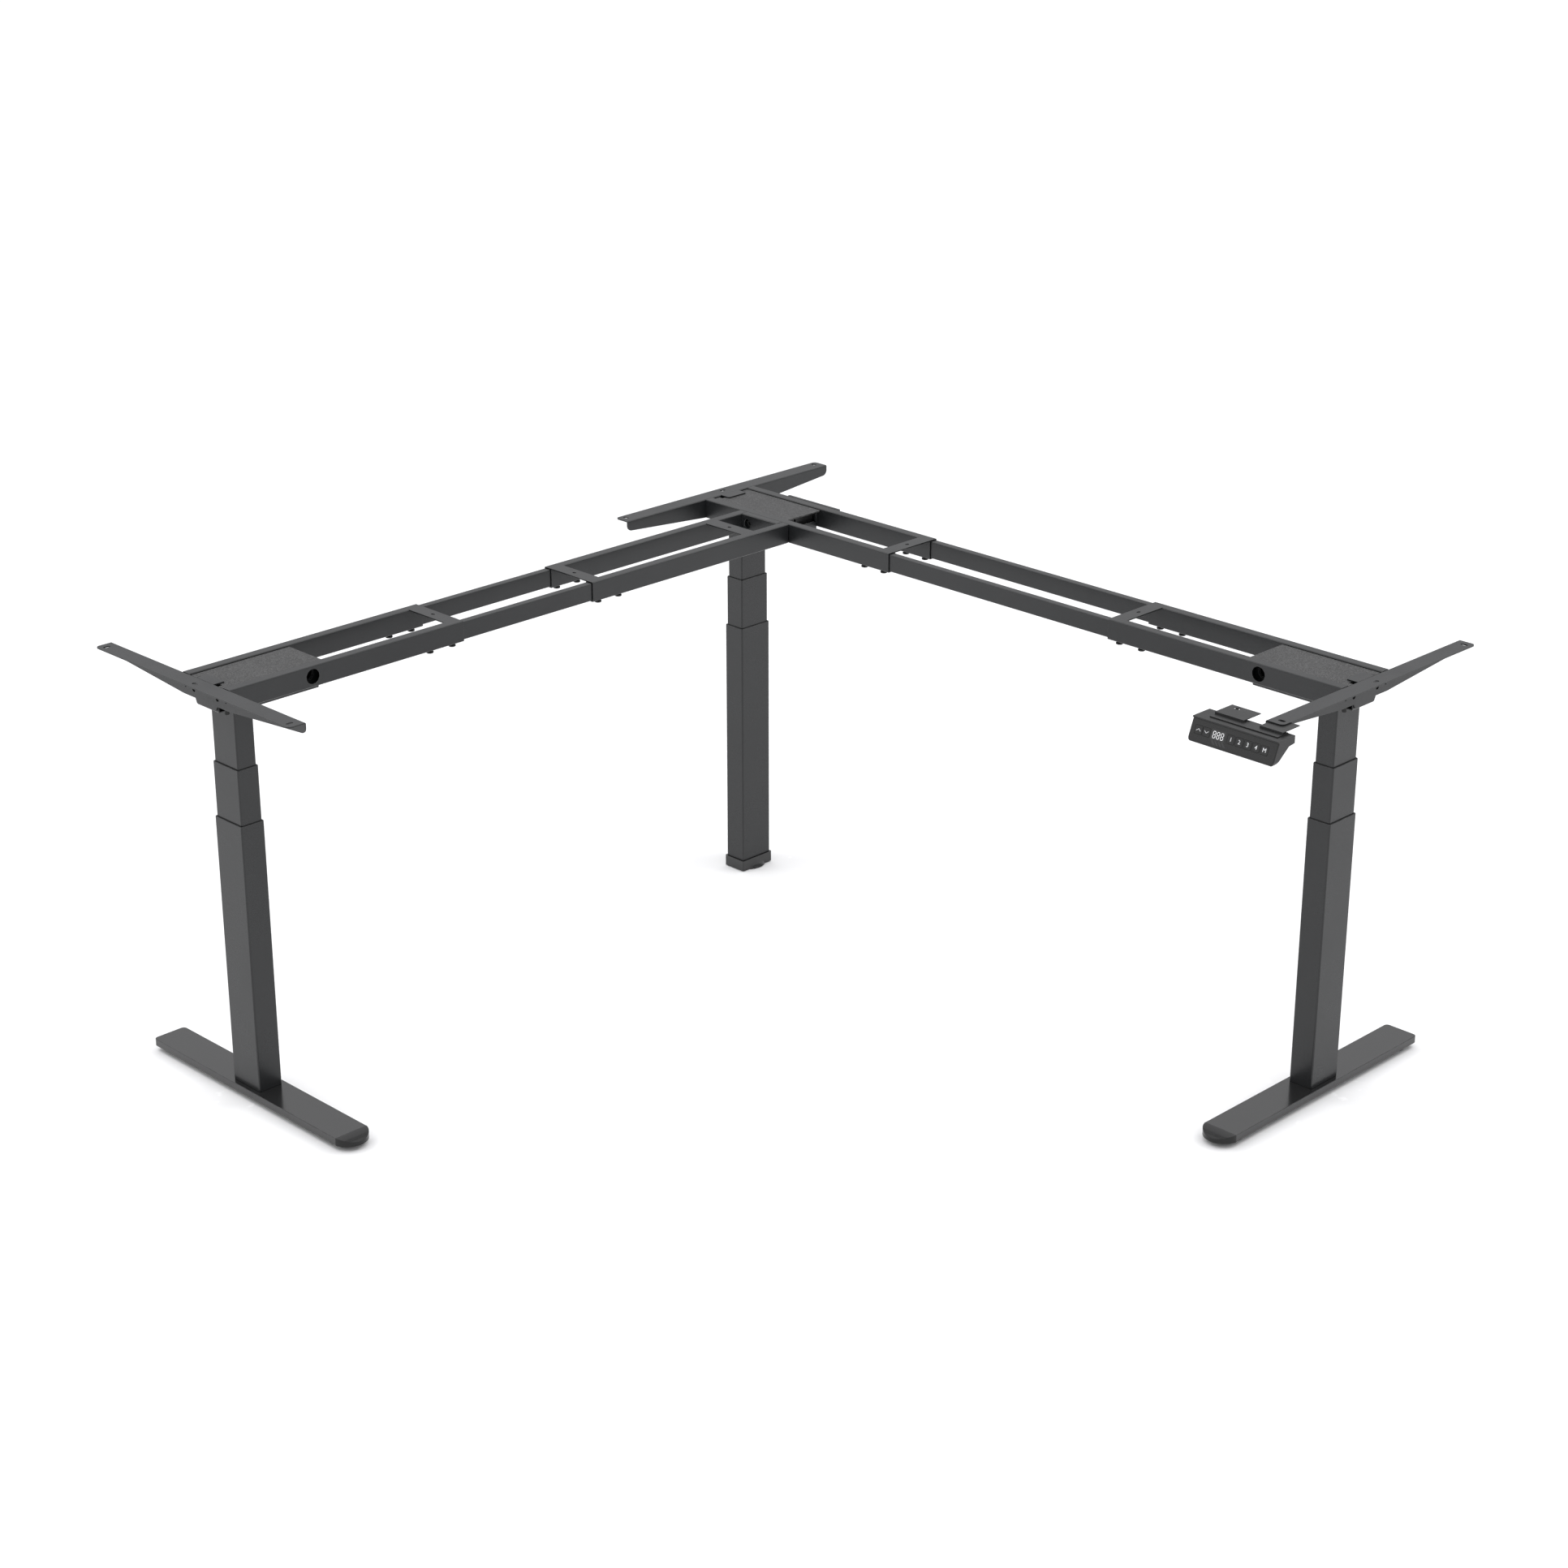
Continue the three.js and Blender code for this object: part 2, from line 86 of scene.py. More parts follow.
TRAY_NECK = 0.031  # half width of the tray's floor behind the bracket
TRAY_NECK_END = -0.030
COVER_NOTCH = (0.033, -0.038)  # half width and inner end of the notch for the bracket's tab
CLAMP_STEPS = (0.021, 0.073)  # clamp screws, from a section's free end
CLAMP_HOLE = 0.0033
CABLE_HOLE = 0.014
CABLE_REACH = 0.128  # cable hole from the column's axis

SLOT_LINE = -0.072  # screw slots of a bracket, from the column's axis
SLOT_REACH = 0.272
WEB_SCREWS = 0.035  # a bracket's screws, from the column's axis and below the flange
WEB_SCREW_DROP = 0.0245
TRAY_SCREWS = 0.060
TRAY_SCREW_DROP = 0.0235
FLAP_HEIGHT = 0.026  # inner end flap of a tray, above its floor
GUARD_STEP = 0.012  # motor guard, back from that flap
COLUMN_BOLTS = (-0.029, 0.027)  # bolts under a tray, along the arm and to each side of it
BOLT_HEAD = 0.0078

JOINT_BOLTS = 0.034
JOINT_HEIGHT = 0.806
JOINT_HOLE = 0.0095
CROSSBAR_REACH = 0.0028  # a crossbar's ends over the rails' round edges

FOOT_FLAT = 0.278  # where a foot's nose begins, from the column's axis
FOOT_FALL = 0.068  # radius of the nose's downward curve
FOOT_CORNER = 0.008
CAP_SEAM = 0.0002

FLARE_NECK = 0.028  # top of the cone in the corner base's sides, as wide as the base
FLARE_TOP = 0.0205
PAD_NECK = 0.025

PANEL_TOP = Vector((0.003, -0.0035))  # depth from the lip and height from the case's top
PANEL_FOOT = Vector((-0.012, -0.0405))
KEY_SIDE = 0.015
KEY_UP = 0.0015
KEY_PROUD = 0.0005
KEYS = {
    "raise": 0.017,
    "lower": 0.0335,
    "preset_1": 0.085,
    "preset_2": 0.1025,
    "preset_3": 0.120,
    "preset_4": 0.1375,
    "memory": 0.155,
}
DISPLAY_ALONG = 0.0585
DISPLAY = (0.029, 0.0175)

# ---------------------------------------------------------------- places


def axis_of(node):
    """The vertical axis through the middle of a node, as a place on the floor."""
    low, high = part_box(node)
    return Vector(((low.x + high.x) / 2, (low.y + high.y) / 2, 0))


def turned(place, angle):
    return Matrix.Translation(place) @ Matrix.Rotation(angle, 4, "Z")


# In a leg's own frame +X points inboard along its arm. In an arm's own frame +X points away from the corner.
LEGS = {
    "corner": turned(axis_of("outer_tube_corner"), 0),
    "main": turned(axis_of("outer_tube_main"), math.pi),
    "return": turned(axis_of("outer_tube_return"), math.pi / 2),
}
ARMS = {
    "main": Matrix.Identity(4),
    "return": turned(Vector((axis_of("outer_tube_return").x, 0, 0)), -math.pi / 2),
}


def local_box(node, place):
    """Lowest and highest corner of a node in the frame of a leg or an arm."""
    back = place.inverted()
    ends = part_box(node)
    corners = [
        back @ Vector((ends[i].x, ends[j].y, ends[k].z))
        for i in (0, 1)
        for j in (0, 1)
        for k in (0, 1)
    ]
    low = Vector(min(c[axis] for c in corners) for axis in range(3))
    high = Vector(max(c[axis] for c in corners) for axis in range(3))
    return low, high


# ---------------------------------------------------------------- camera, floor and light


def add_camera():
    data = bpy.data.cameras.new("camera")
    data.lens = 71.47
    data.sensor_width = 36
    camera = bpy.data.objects.new("camera", data)
    camera.location = (4.439, -4.330, 2.690)
    camera.rotation_euler = (math.radians(68), 0, math.radians(45))
    bpy.context.scene.collection.objects.link(camera)
    bpy.context.scene.camera = camera


def add_softbox(name, place, target, size, watts):
    data = bpy.data.lights.new(name, "AREA")
    data.shape = "SQUARE"
    data.size = size
    data.energy = watts
    light = bpy.data.objects.new(name, data)
    light.location = place
    light.rotation_euler = (Vector(target) - Vector(place)).to_track_quat("-Z", "Y").to_euler()
    light.visible_camera = False
    bpy.context.scene.collection.objects.link(light)


def add_studio():
    centre = (0.7, -0.6, 0.6)
    add_softbox("left_softbox", (-1.6, -4.2, 1.9), centre, 1.8, 7)
    add_softbox("right_softbox", (4.6, 1.6, 1.9), centre, 1.8, 2)
    add_softbox("left_edge_light", (-1.7, -2.0, 3.2), centre, 1.3, 20)
    add_softbox("back_edge_light", (2.0, 1.8, 3.2), centre, 1.3, 20)
    world = bpy.data.worlds.new("studio")
    bpy.context.scene.world = world
    world.use_nodes = True
    tree = world.node_tree
    background = tree.nodes["Background"]
    background.inputs["Color"].default_value = (0.985, 0.985, 1.0, 1)
    height = add_node(tree, "ShaderNodeSeparateXYZ")
    tree.links.new(tree.nodes.new("ShaderNodeTexCoord").outputs["Generated"], height.inputs["Vector"])
    dome = add_range(tree, height.outputs["Z"], 0.02, 0.9, 0.30, 1.6)
    tree.links.new(dome, background.inputs["Strength"])
    bpy.context.scene.view_settings.view_transform = "Standard"


# ---------------------------------------------------------------- shader groups


def add_node(tree, kind, settings=None, **values):
    """A shader node with its settings and the constant values of its sockets."""
    node = tree.nodes.new(kind)
    for name, value in (settings or {}).items():
        setattr(node, name, value)
    for name, value in values.items():
        node.inputs[name.replace("_", " ")].default_value = value
    return node


def new_group(name, inputs, outputs):
    """An empty shader group with named float inputs and outputs."""
    group = bpy.data.node_groups.new(name, "ShaderNodeTree")
    for socket, value in inputs.items():
        made = group.interface.new_socket(socket, in_out="INPUT", socket_type="NodeSocketFloat")
        made.default_value = value
    for socket in outputs:
        group.interface.new_socket(socket, in_out="OUTPUT", socket_type="NodeSocketFloat")
    entry = group.nodes.new("NodeGroupInput")
    leave = group.nodes.new("NodeGroupOutput")
    return group, entry, leave


def add_noise(tree, coordinates, scale, detail=2.0, roughness=0.5):
    noise = add_node(tree, "ShaderNodeTexNoise", Detail=detail, Roughness=roughness)
    tree.links.new(coordinates, noise.inputs["Vector"])
    if isinstance(scale, (int, float)):
        noise.inputs["Scale"].default_value = scale
    else:
        tree.links.new(scale, noise.inputs["Scale"])
    return noise.outputs["Fac"]


def add_range(tree, value, low, high, to_low=0.0, to_high=1.0):
    node = tree.nodes.new("ShaderNodeMapRange")
    tree.links.new(value, node.inputs["Value"])
    node.inputs["From Min"].default_value = low
    node.inputs["From Max"].default_value = high
    node.inputs["To Min"].default_value = to_low
    node.inputs["To Max"].default_value = to_high
    return node.outputs["Result"]


def add_math(tree, operation, first, second):
    node = add_node(tree, "ShaderNodeMath", {"operation": operation})
    for index, value in enumerate((first, second)):
        if isinstance(value, (int, float)):
            node.inputs[index].default_value = value
        else:
            tree.links.new(value, node.inputs[index])
    return node.outputs["Value"]


def make_grain_group():
    """Sprayed and baked powder: fine peel, scattered bright grains and a broad drift in shade."""
    group, entry, leave = new_group("coat_grain", {"Scale": 1200.0}, ("Peel", "Grains", "Mottle", "Drift"))
    place = group.nodes.new("ShaderNodeTexCoord").outputs["Object"]
    scale = entry.outputs["Scale"]
    peel = add_noise(group, place, scale, 3.0, 0.55)
    coarse = add_noise(group, place, add_math(group, "MULTIPLY", scale, 0.22), 2.0)
    height = add_math(group, "ADD", peel, add_math(group, "MULTIPLY", coarse, 0.8))
    grains = add_noise(group, place, add_math(group, "MULTIPLY", scale, 1.9), 1.0)
    group.links.new(height, leave.inputs["Peel"])
    group.links.new(add_range(group, grains, 0.60, 0.74), leave.inputs["Grains"])
    mottle = add_noise(group, place, scale, 1.0)
    group.links.new(add_range(group, mottle, 0.44, 0.60), leave.inputs["Mottle"])
    drift = add_noise(group, place, 5.0, 4.0, 0.6)
    group.links.new(add_range(group, drift, 0.32, 0.68), leave.inputs["Drift"])
    return group


def make_wear_group():
    """Coating rubbed thin along a piece's edges, broken up along its length."""
    group, entry, leave = new_group("edge_wear", {"Amount": 0.5}, ("Mask",))
    place = group.nodes.new("ShaderNodeTexCoord").outputs["Object"]
    edge = add_node(group, "ShaderNodeAttribute", {"attribute_name": "edge"})
    broken = add_range(group, add_noise(group, place, 60.0, 5.0, 0.7), 0.38, 0.62)
    worn = add_math(group, "MULTIPLY", edge.outputs["Fac"], broken)
    group.links.new(add_math(group, "MULTIPLY", worn, entry.outputs["Amount"]), leave.inputs["Mask"])
    return group


def make_handling_group():
    """Faint smears and hairline rubs left by hands and packing."""
    group, _, leave = new_group("handling", {}, ("Smear", "Hairlines"))
    place = group.nodes.new("ShaderNodeTexCoord").outputs["Object"]
    smear = add_range(group, add_noise(group, place, 11.0, 6.0, 0.65), 0.45, 0.75)
    stretch = add_node(group, "ShaderNodeMapping", Scale=(30.0, 30.0, 900.0))
    stretch.inputs["Rotation"].default_value = (0.5, 0.3, 0.9)
    group.links.new(place, stretch.inputs["Vector"])
    hair = add_noise(group, stretch.outputs["Vector"], 1.0, 2.0)
    group.links.new(smear, leave.inputs["Smear"])
    group.links.new(add_range(group, hair, 0.66, 0.72), leave.inputs["Hairlines"])
    return group


GRAIN = make_grain_group()
WEAR = make_wear_group()
HANDLING = make_handling_group()


def use_group(tree, group, **values):
    node = add_node(tree, "ShaderNodeGroup", {"node_tree": group})
    for name, value in values.items():
        node.inputs[name].default_value = value
    return node


def mix_colour(tree, factor, first, second):
    """Blends towards a plain colour where the factor is high."""
    node = add_node(tree, "ShaderNodeMix", {"data_type": "RGBA"})
    tree.links.new(factor, node.inputs["Factor"])
    if isinstance(first, tuple):
        node.inputs["A"].default_value = first
    else:
        tree.links.new(first, node.inputs["A"])
    node.inputs["B"].default_value = second
    return node.outputs["Result"]


def grey(value, blue=0.0):
    return (value, value * (1 + blue / 2), value * (1 + blue), 1.0)


def make_coat(
    name,
    shade,
    roughness,
    grain=1200.0,
    relief=0.00003,
    blue=0.03,
    drift=0.10,
    grains=0.25,
    wear=0.5,
    worn=0.30,
    metal=0.0,
    coat=0.0,
    fleck=2.2,
    spots="Grains",
    shine=0.5,
):
    """A finish with a grain, a drift in shade, smears, hairlines and worn edges."""
    material = bpy.data.materials.new(name)
    material.use_nodes = True
    tree = material.node_tree
    surface = tree.nodes["Principled BSDF"]
    surface.inputs["Metallic"].default_value = metal
    surface.inputs["Coat Weight"].default_value = coat
    surface.inputs["Coat Roughness"].default_value = 0.12
    surface.inputs["Specular IOR Level"].default_value = shine
    powder = use_group(tree, GRAIN, Scale=grain)
    marks = use_group(tree, HANDLING)
    rubbed = use_group(tree, WEAR, Amount=wear)
    low = grey(shade * (1 - drift), blue)
    colour = mix_colour(tree, powder.outputs["Drift"], low, grey(shade * (1 + drift), blue))
    flecks = add_math(tree, "MULTIPLY", powder.outputs[spots], grains)
    colour = mix_colour(tree, flecks, colour, grey(shade * fleck, blue))
    hairs = add_math(tree, "MULTIPLY", marks.outputs["Hairlines"], 0.12)
    colour = mix_colour(tree, hairs, colour, grey(shade * 1.8, blue))
    colour = mix_colour(tree, rubbed.outputs["Mask"], colour, grey(worn))
    tree.links.new(colour, surface.inputs["Base Color"])
    gloss = add_range(tree, marks.outputs["Smear"], 0.0, 1.0, roughness * 0.92, roughness * 1.14)
    fine = add_range(tree, powder.outputs["Peel"], 0.6, 1.2, -0.03, 0.03)
    tree.links.new(add_math(tree, "ADD", gloss, fine), surface.inputs["Roughness"])
    bump = add_node(tree, "ShaderNodeBump", Strength=1.0, Distance=relief)
    tree.links.new(powder.outputs["Peel"], bump.inputs["Height"])
    tree.links.new(bump.outputs["Normal"], surface.inputs["Normal"])
    return material


FINISH = {
    "graphite_coat": make_coat("graphite_coat", 0.011, 0.34, blue=0.15),
    "column_coat": make_coat("column_coat", 0.010, 0.31, grain=1500.0, relief=0.00002, blue=0.15),
    "foot_coat": make_coat("foot_coat", 0.010, 0.20, grain=900.0, relief=0.000012, coat=0.25, wear=0.12),
    "end_cap_gloss": make_coat(
        "end_cap_gloss", 0.006, 0.16, grain=900.0, relief=0.000006, grains=0.1, wear=0.1, shine=0.35
    ),
    "speckled_coat": make_coat(
        "speckled_coat", 0.018, 0.55, grain=520.0, relief=0.0005, blue=0.0, drift=0.04, grains=0.9, fleck=4.0,
        spots="Mottle",
    ),
    "black_bolt": make_coat("black_bolt", 0.004, 0.55, grain=2600.0, wear=0.3, worn=0.10),
    "bright_screw": make_coat("bright_screw", 0.55, 0.30, grain=2600.0, metal=1.0, drift=0.2, worn=0.7),
    "oiled_thread": make_coat("oiled_thread", 0.45, 0.28, grain=1600.0, metal=1.0, drift=0.25),
    "motor_paint": make_coat("motor_paint", 0.020, 0.42, grain=1500.0),
    "foot_rubber": make_coat("foot_rubber", 0.018, 0.80, grain=700.0, relief=0.00008, worn=0.06),
    "bush_plastic": make_coat("bush_plastic", 0.012, 0.50, grain=1800.0, worn=0.05),
    "case_plastic": make_coat(
        "case_plastic", 0.008, 0.42, grain=2600.0, relief=0.00003, grains=0.1, wear=0.2, worn=0.10
    ),
    "panel_film": make_coat(
        "panel_film", 0.006, 0.26, grain=3000.0, relief=0.000003, grains=0.0, wear=0.0, drift=0.04
    ),
    "key_plastic": make_coat(
        "key_plastic", 0.009, 0.34, grain=3800.0, relief=0.000008, grains=0.05, wear=0.2, worn=0.10
    ),
    "mount_plastic": make_coat("mount_plastic", 0.018, 0.48, grain=1800.0, relief=0.00004, worn=0.12),
    "stripe_print": make_coat(
        "stripe_print", 0.030, 0.32, grain=3000.0, relief=0.000003, grains=0.05, wear=0.0
    ),
    "legend_ink": make_coat("legend_ink", 0.80, 0.55, grain=6000.0, relief=0.000003, worn=0.8),
    "display_window": make_coat(
        "display_window", 0.020, 0.16, grain=3000.0, relief=0.000002, grains=0.05, wear=0.0
    ),
    "studio_floor": make_coat(
        "studio_floor", 0.88, 0.85, grain=40.0, relief=0.00005, blue=0.0, drift=0.01, grains=0.0, wear=0.0
    ),
}


def make_digit_light():
    """Lit display segments, glowing evenly."""
    material = make_coat("digit_light", 0.80, 0.40, grain=6000.0, relief=0.000002, worn=0.9)
    surface = material.node_tree.nodes["Principled BSDF"]
    surface.inputs["Emission Color"].default_value = (1.0, 1.0, 1.0, 1.0)
    surface.inputs["Emission Strength"].default_value = 0.45
    return material


FINISH["digit_light"] = make_digit_light()

# ---------------------------------------------------------------- bench tools


def only(piece):
    bpy.ops.object.select_all(action="DESELECT")
    piece.select_set(True)
    bpy.context.view_layer.objects.active = piece


def settle(piece):
    """Writes a piece's place into its mesh."""
    only(piece)
    bpy.ops.object.transform_apply(location=True, rotation=True, scale=True)
    return piece


def new_box(name, low, high):
    low = Vector(low)
    high = Vector(high)
    bpy.ops.object.select_all(action="DESELECT")
    bpy.ops.mesh.primitive_cube_add(size=1, location=(low + high) / 2)
    piece = bpy.context.object
    piece.name = name
    piece.scale = high - low
    return settle(piece)


def new_rod(name, radius, start, end, sides=32, end_radius=None):
    """A round bar from one point to another, tapered where it ends in another radius."""
    start = Vector(start)
    run = Vector(end) - start
    bpy.ops.object.select_all(action="DESELECT")
    bpy.ops.mesh.primitive_cone_add(
        vertices=sides,
        radius1=radius,
        radius2=radius if end_radius is None else end_radius,
        depth=run.length,
        location=start + run / 2,
        rotation=run.to_track_quat("Z", "Y").to_euler(),
    )
    piece = bpy.context.object
    piece.name = name
    return settle(piece)


def new_outline(name, points):
    """A flat face whose corners are the given points."""
    bpy.ops.object.select_all(action="DESELECT")
    bpy.ops.mesh.primitive_circle_add(vertices=len(points), fill_type="NGON")
    piece = bpy.context.object
    piece.name = name
    for corner, point in zip(piece.data.vertices, points):
        corner.co = point
    return piece


class Edit:
    """Edit mode on one piece, for as long as the with block lasts."""

    def __init__(self, piece):
        self.piece = piece

    def __enter__(self):
        only(self.piece)
        bpy.ops.object.mode_set(mode="EDIT")
        return self

    def __exit__(self, *problem):
        bpy.ops.object.mode_set(mode="OBJECT")

    def pick(self, kind, test):
        """Selects the vertices, edges or faces that pass a test, and nothing else."""
        bpy.ops.mesh.select_mode(type=kind)
        bpy.ops.mesh.select_all(action="DESELECT")
        mesh = bmesh.from_edit_mesh(self.piece.data)
        parts = {"VERT": mesh.verts, "EDGE": mesh.edges, "FACE": mesh.faces}[kind]
        for part in parts:
            if test(part):
                part.select_set(True)
        bmesh.update_edit_mesh(self.piece.data)

    def round_edges(self, test, radius, segments=5):
        self.pick("EDGE", test)
        bpy.ops.mesh.bevel(offset=radius, segments=segments, affect="EDGES")

    def round_corners(self, test, radius, segments=6):
        self.pick("VERT", test)
        bpy.ops.mesh.bevel(offset=radius, segments=segments, affect="VERTICES")

    def extrude(self, step):
        bpy.ops.mesh.extrude_region_move(TRANSFORM_OT_translate={"value": step})


def middle(part):
    return sum((corner.co for corner in part.verts), Vector()) / len(part.verts)


def runs(edge, axis):
    """True where an edge lies along an axis."""
    run = edge.verts[1].co - edge.verts[0].co
    return abs(run[axis]) > 0.99 * run.length


def apply_modifier(piece, kind, **settings):
    only(piece)
    modifier = piece.modifiers.new(kind.lower(), kind)
    for name, value in settings.items():
        setattr(modifier, name, value)
    bpy.ops.object.modifier_apply(modifier=modifier.name)


def thicken(piece, wall):
    """Gives a sheet its thickness, behind its outer face."""
    apply_modifier(piece, "SOLIDIFY", thickness=wall, offset=-1, use_even_offset=True)


def combine(piece, tools, operation="DIFFERENCE"):
    """Cuts or joins with other solids, which are used up."""
    for tool in tools:
        apply_modifier(piece, "BOOLEAN", object=tool, operation=operation, solver="EXACT")
        bpy.data.objects.remove(tool)


def mark_edges(piece):
    """Notes where narrow faces turn sharply, which is along edges, for the wear in the finish."""
    mesh = bmesh.new()
    mesh.from_mesh(piece.data)
    sharp = math.radians(28)
    narrow = {face.index for face in mesh.faces if face.calc_area() < 0.0006 * face.calc_perimeter()}
    values = []
    for corner in mesh.verts:
        turns = [edge.calc_face_angle(0.0) for edge in corner.link_edges if edge.is_manifold]
        rim = all(face.index in narrow for face in corner.link_faces)
        values.append(1.0 if rim and turns and max(turns) > sharp else 0.0)
    mesh.free()
    edge = piece.data.attributes.new("edge", "FLOAT", "POINT")
    edge.data.foreach_set("value", values)


def finish_piece(piece, finish, soft=0.0004, segments=2, limit=38):
    """Breaks the sharp edges, evens the shading and gives the piece its finish."""
    only(piece)
    bpy.ops.object.shade_smooth()
    if soft:
        apply_modifier(
            piece,
            "BEVEL",
            width=soft,
            segments=segments,
            limit_method="ANGLE",
            angle_limit=math.radians(limit),
        )
    apply_modifier(piece, "WEIGHTED_NORMAL", keep_sharp=True, weight=80)
    mark_edges(piece)
    piece.data.materials.clear()
    piece.data.materials.append(FINISH[finish])
    return piece


def copied(piece, name, place):
    """A copy of a finished piece, with its own mesh, at another place."""
    made = piece.copy()
    made.data = piece.data.copy()
    made.name = name
    bpy.context.scene.collection.objects.link(made)
    made.matrix_world = place
    return settle(made)


def discard(*pieces):
    for piece in pieces:
        bpy.data.objects.remove(piece)


def stand_for(piece, node):
    """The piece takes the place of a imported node, on the same body."""
    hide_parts(node)
    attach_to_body(piece, BODY[node])


def attach(piece, node):
    """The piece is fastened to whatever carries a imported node."""
    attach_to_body(piece, BODY[node])


def joined(name, pieces):
    """Several loose solids as one mesh."""
    only(pieces[0])
    for piece in pieces:
        piece.select_set(True)
    bpy.ops.object.join()
    made = bpy.context.object
    made.name = name
    return made


# ---------------------------------------------------------------- columns and feet


def new_tube(name, low, high, axis, corner, wall):
    """A rectangular tube along one axis, open at both ends."""
    tube = new_box(name, low, high)
    with Edit(tube) as edit:
        edit.pick("FACE", lambda face: abs(face.normal[axis]) > 0.5)
        bpy.ops.mesh.delete(type="FACE")
        edit.round_edges(lambda edge: runs(edge, axis), corner)
    thicken(tube, wall)
    return tube


def add_columns():
    for stage in ("outer", "middle", "inner"):
        low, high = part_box(f"{stage}_tube_corner")
        tube = finish_piece(new_tube("tube", low, high, 2, TUBE_CORNER, TUBE_WALL), "column_coat")
        for leg, place in LEGS.items():
            made = copied(tube, f"column_{stage}_{leg}", place)
            stand_for(made, f"{stage}_tube_{leg}")
        discard(tube)
        if stage == "inner":
            continue
        inset = Vector((0.0005, 0.0005, 0))
        rim_low = Vector((low.x, low.y, high.z)) + inset
        rim_high = Vector((high.x, high.y, high.z + 0.0008)) - inset
        rim = new_tube("rim", rim_low, rim_high, 2, TUBE_CORNER - 0.0005, 0.0017)
        finish_piece(rim, "bush_plastic", 0.0002)
        for leg, place in LEGS.items():
            attach(copied(rim, f"guide_bush_{stage}_{leg}", place), f"{stage}_tube_{leg}")
        discard(rim)


def new_foot(low, high):
    """The whole outline of a foot: a flat bar with a square back end and a round nose that curves down."""
    half = high.x
    nose = high.y - FOOT_FLAT
    radius = (half * half + nose * nose) / (2 * nose)
    centre = high.y - radius
    spread = math.asin(half / radius)
    steps = 24
    arc = [spread - 2 * spread * count / steps for count in range(steps + 1)]
    outline = [Vector((radius * math.sin(turn), centre + radius * math.cos(turn), low.z)) for turn in arc]
    outline += [Vector((-half, low.y, low.z)), Vector((half, low.y, low.z))]
    foot = new_outline("foot", outline)
    with Edit(foot) as edit:
        edit.pick("FACE", lambda face: True)
        edit.extrude((0, 0, high.z - low.z))
        edit.pick("FACE", lambda face: True)
        bpy.ops.mesh.normals_make_consistent(inside=False)
        edit.round_edges(lambda edge: runs(edge, 2) and middle(edge).y < low.y + 1e-5, FOOT_CORNER, 6)
    wedge = new_box("wedge", (-0.04, FOOT_FLAT, low.z), (0.04, high.y + 0.01, high.z + 0.01))
    crown_height = high.z - FOOT_FALL
    ends = [(x, FOOT_FLAT, crown_height) for x in (-0.05, 0.05)]
    crown = new_rod("crown", FOOT_FALL, *ends, 256)
    combine(wedge, [crown])
    combine(foot, [wedge])
    return foot


def trimmed(piece, name, low, high):
    """The part of a solid that lies in a box, as a new piece."""
    made = copied(piece, name, Matrix.Identity(4))
    combine(made, [new_box("trim", low, high)], "INTERSECT")
    return made


def add_feet():
    low, high = local_box("foot_bar_main", LEGS["main"])
    foot = new_foot(low, high)
    margin = Vector((0.01, 0.01, 0.01))
    bar = trimmed(foot, "bar", low - margin, (high.x + 0.01, FOOT_FLAT, high.z + 0.01))
    cap = trimmed(foot, "cap", (low.x - 0.01, FOOT_FLAT + CAP_SEAM, low.z - 0.01), high + margin)
    finish_piece(bar, "foot_coat", 0.0011, 3, 40)
    finish_piece(cap, "end_cap_gloss", 0.0009, 3, 40)
    for leg, turn in (("main", 0), ("return", math.pi)):
        place = LEGS[leg] @ Matrix.Rotation(turn, 4, "Z")
        stand_for(copied(bar, f"foot_{leg}", place), f"foot_bar_{leg}")
        attach(copied(cap, f"nose_cap_{leg}", place), f"foot_bar_{leg}")
    discard(foot, bar, cap)
    low, high = local_box("glide_front_main", Matrix.Identity(4))
    centre = axis_of("glide_front_main")
    disc = new_rod("disc", (high.x - low.x) / 2, (0, 0, 0), (0, 0, 0.0095), 48)
    stud = new_rod("stud", 0.004, (0, 0, 0.008), (0, 0, high.z), 24)
    combine(disc, [stud], "UNION")
    finish_piece(disc, "foot_rubber", 0.0012, 3)
    for node in ("glide_front_main", "glide_back_main", "glide_front_return", "glide_back_return"):
        made = copied(disc, node.replace("glide", "levelling_glide"), turned(axis_of(node), 0))
        stand_for(made, node)
    discard(disc)


def add_corner_base():
    low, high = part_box("base_cap_corner")
    pad_low, pad_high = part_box("levelling_pad_corner")
    spread = pad_high.x
    neck = PAD_NECK
    half = FLARE_NECK
    cap = new_box("base_corner", (-half, low.y, low.z), (half, high.y, high.z))
    with Edit(cap) as edit:
        edit.round_edges(lambda edge: runs(edge, 2), 0.003)
    combine(cap, [new_rod("flare", high.x, (0, 0, low.z), (0, 0, FLARE_TOP), 128, half)], "UNION")
    well = new_rod("well", spread + 0.001, (0, 0, -0.001), (0, 0, pad_high.z + 0.0005), 96, neck + 0.0004)
    combine(cap, [well])
    finish_piece(cap, "foot_coat", 0.0008, 3)
    stand_for(cap, "base_cap_corner")
    pad = new_rod("pad_corner", spread, (0, 0, 0), (0, 0, pad_high.z), 96, neck)
    finish_piece(pad, "foot_rubber", 0.0008, 3)
    stand_for(pad, "levelling_pad_corner")


# ---------------------------------------------------------------- brackets, trays and covers


def new_slot_cutter(length, width, place, long_axis):
    """A solid that cuts a slot with round ends through a flat sheet."""
    half = Vector((width / 2, width / 2, 0.006))
    half[long_axis] = length / 2
    cutter = new_box("slot_cutter", Vector(place) - half, Vector(place) + half)
    with Edit(cutter) as edit:
        edit.round_edges(lambda edge: runs(edge, 2), width / 2 - 0.00005, 6)
    return cutter


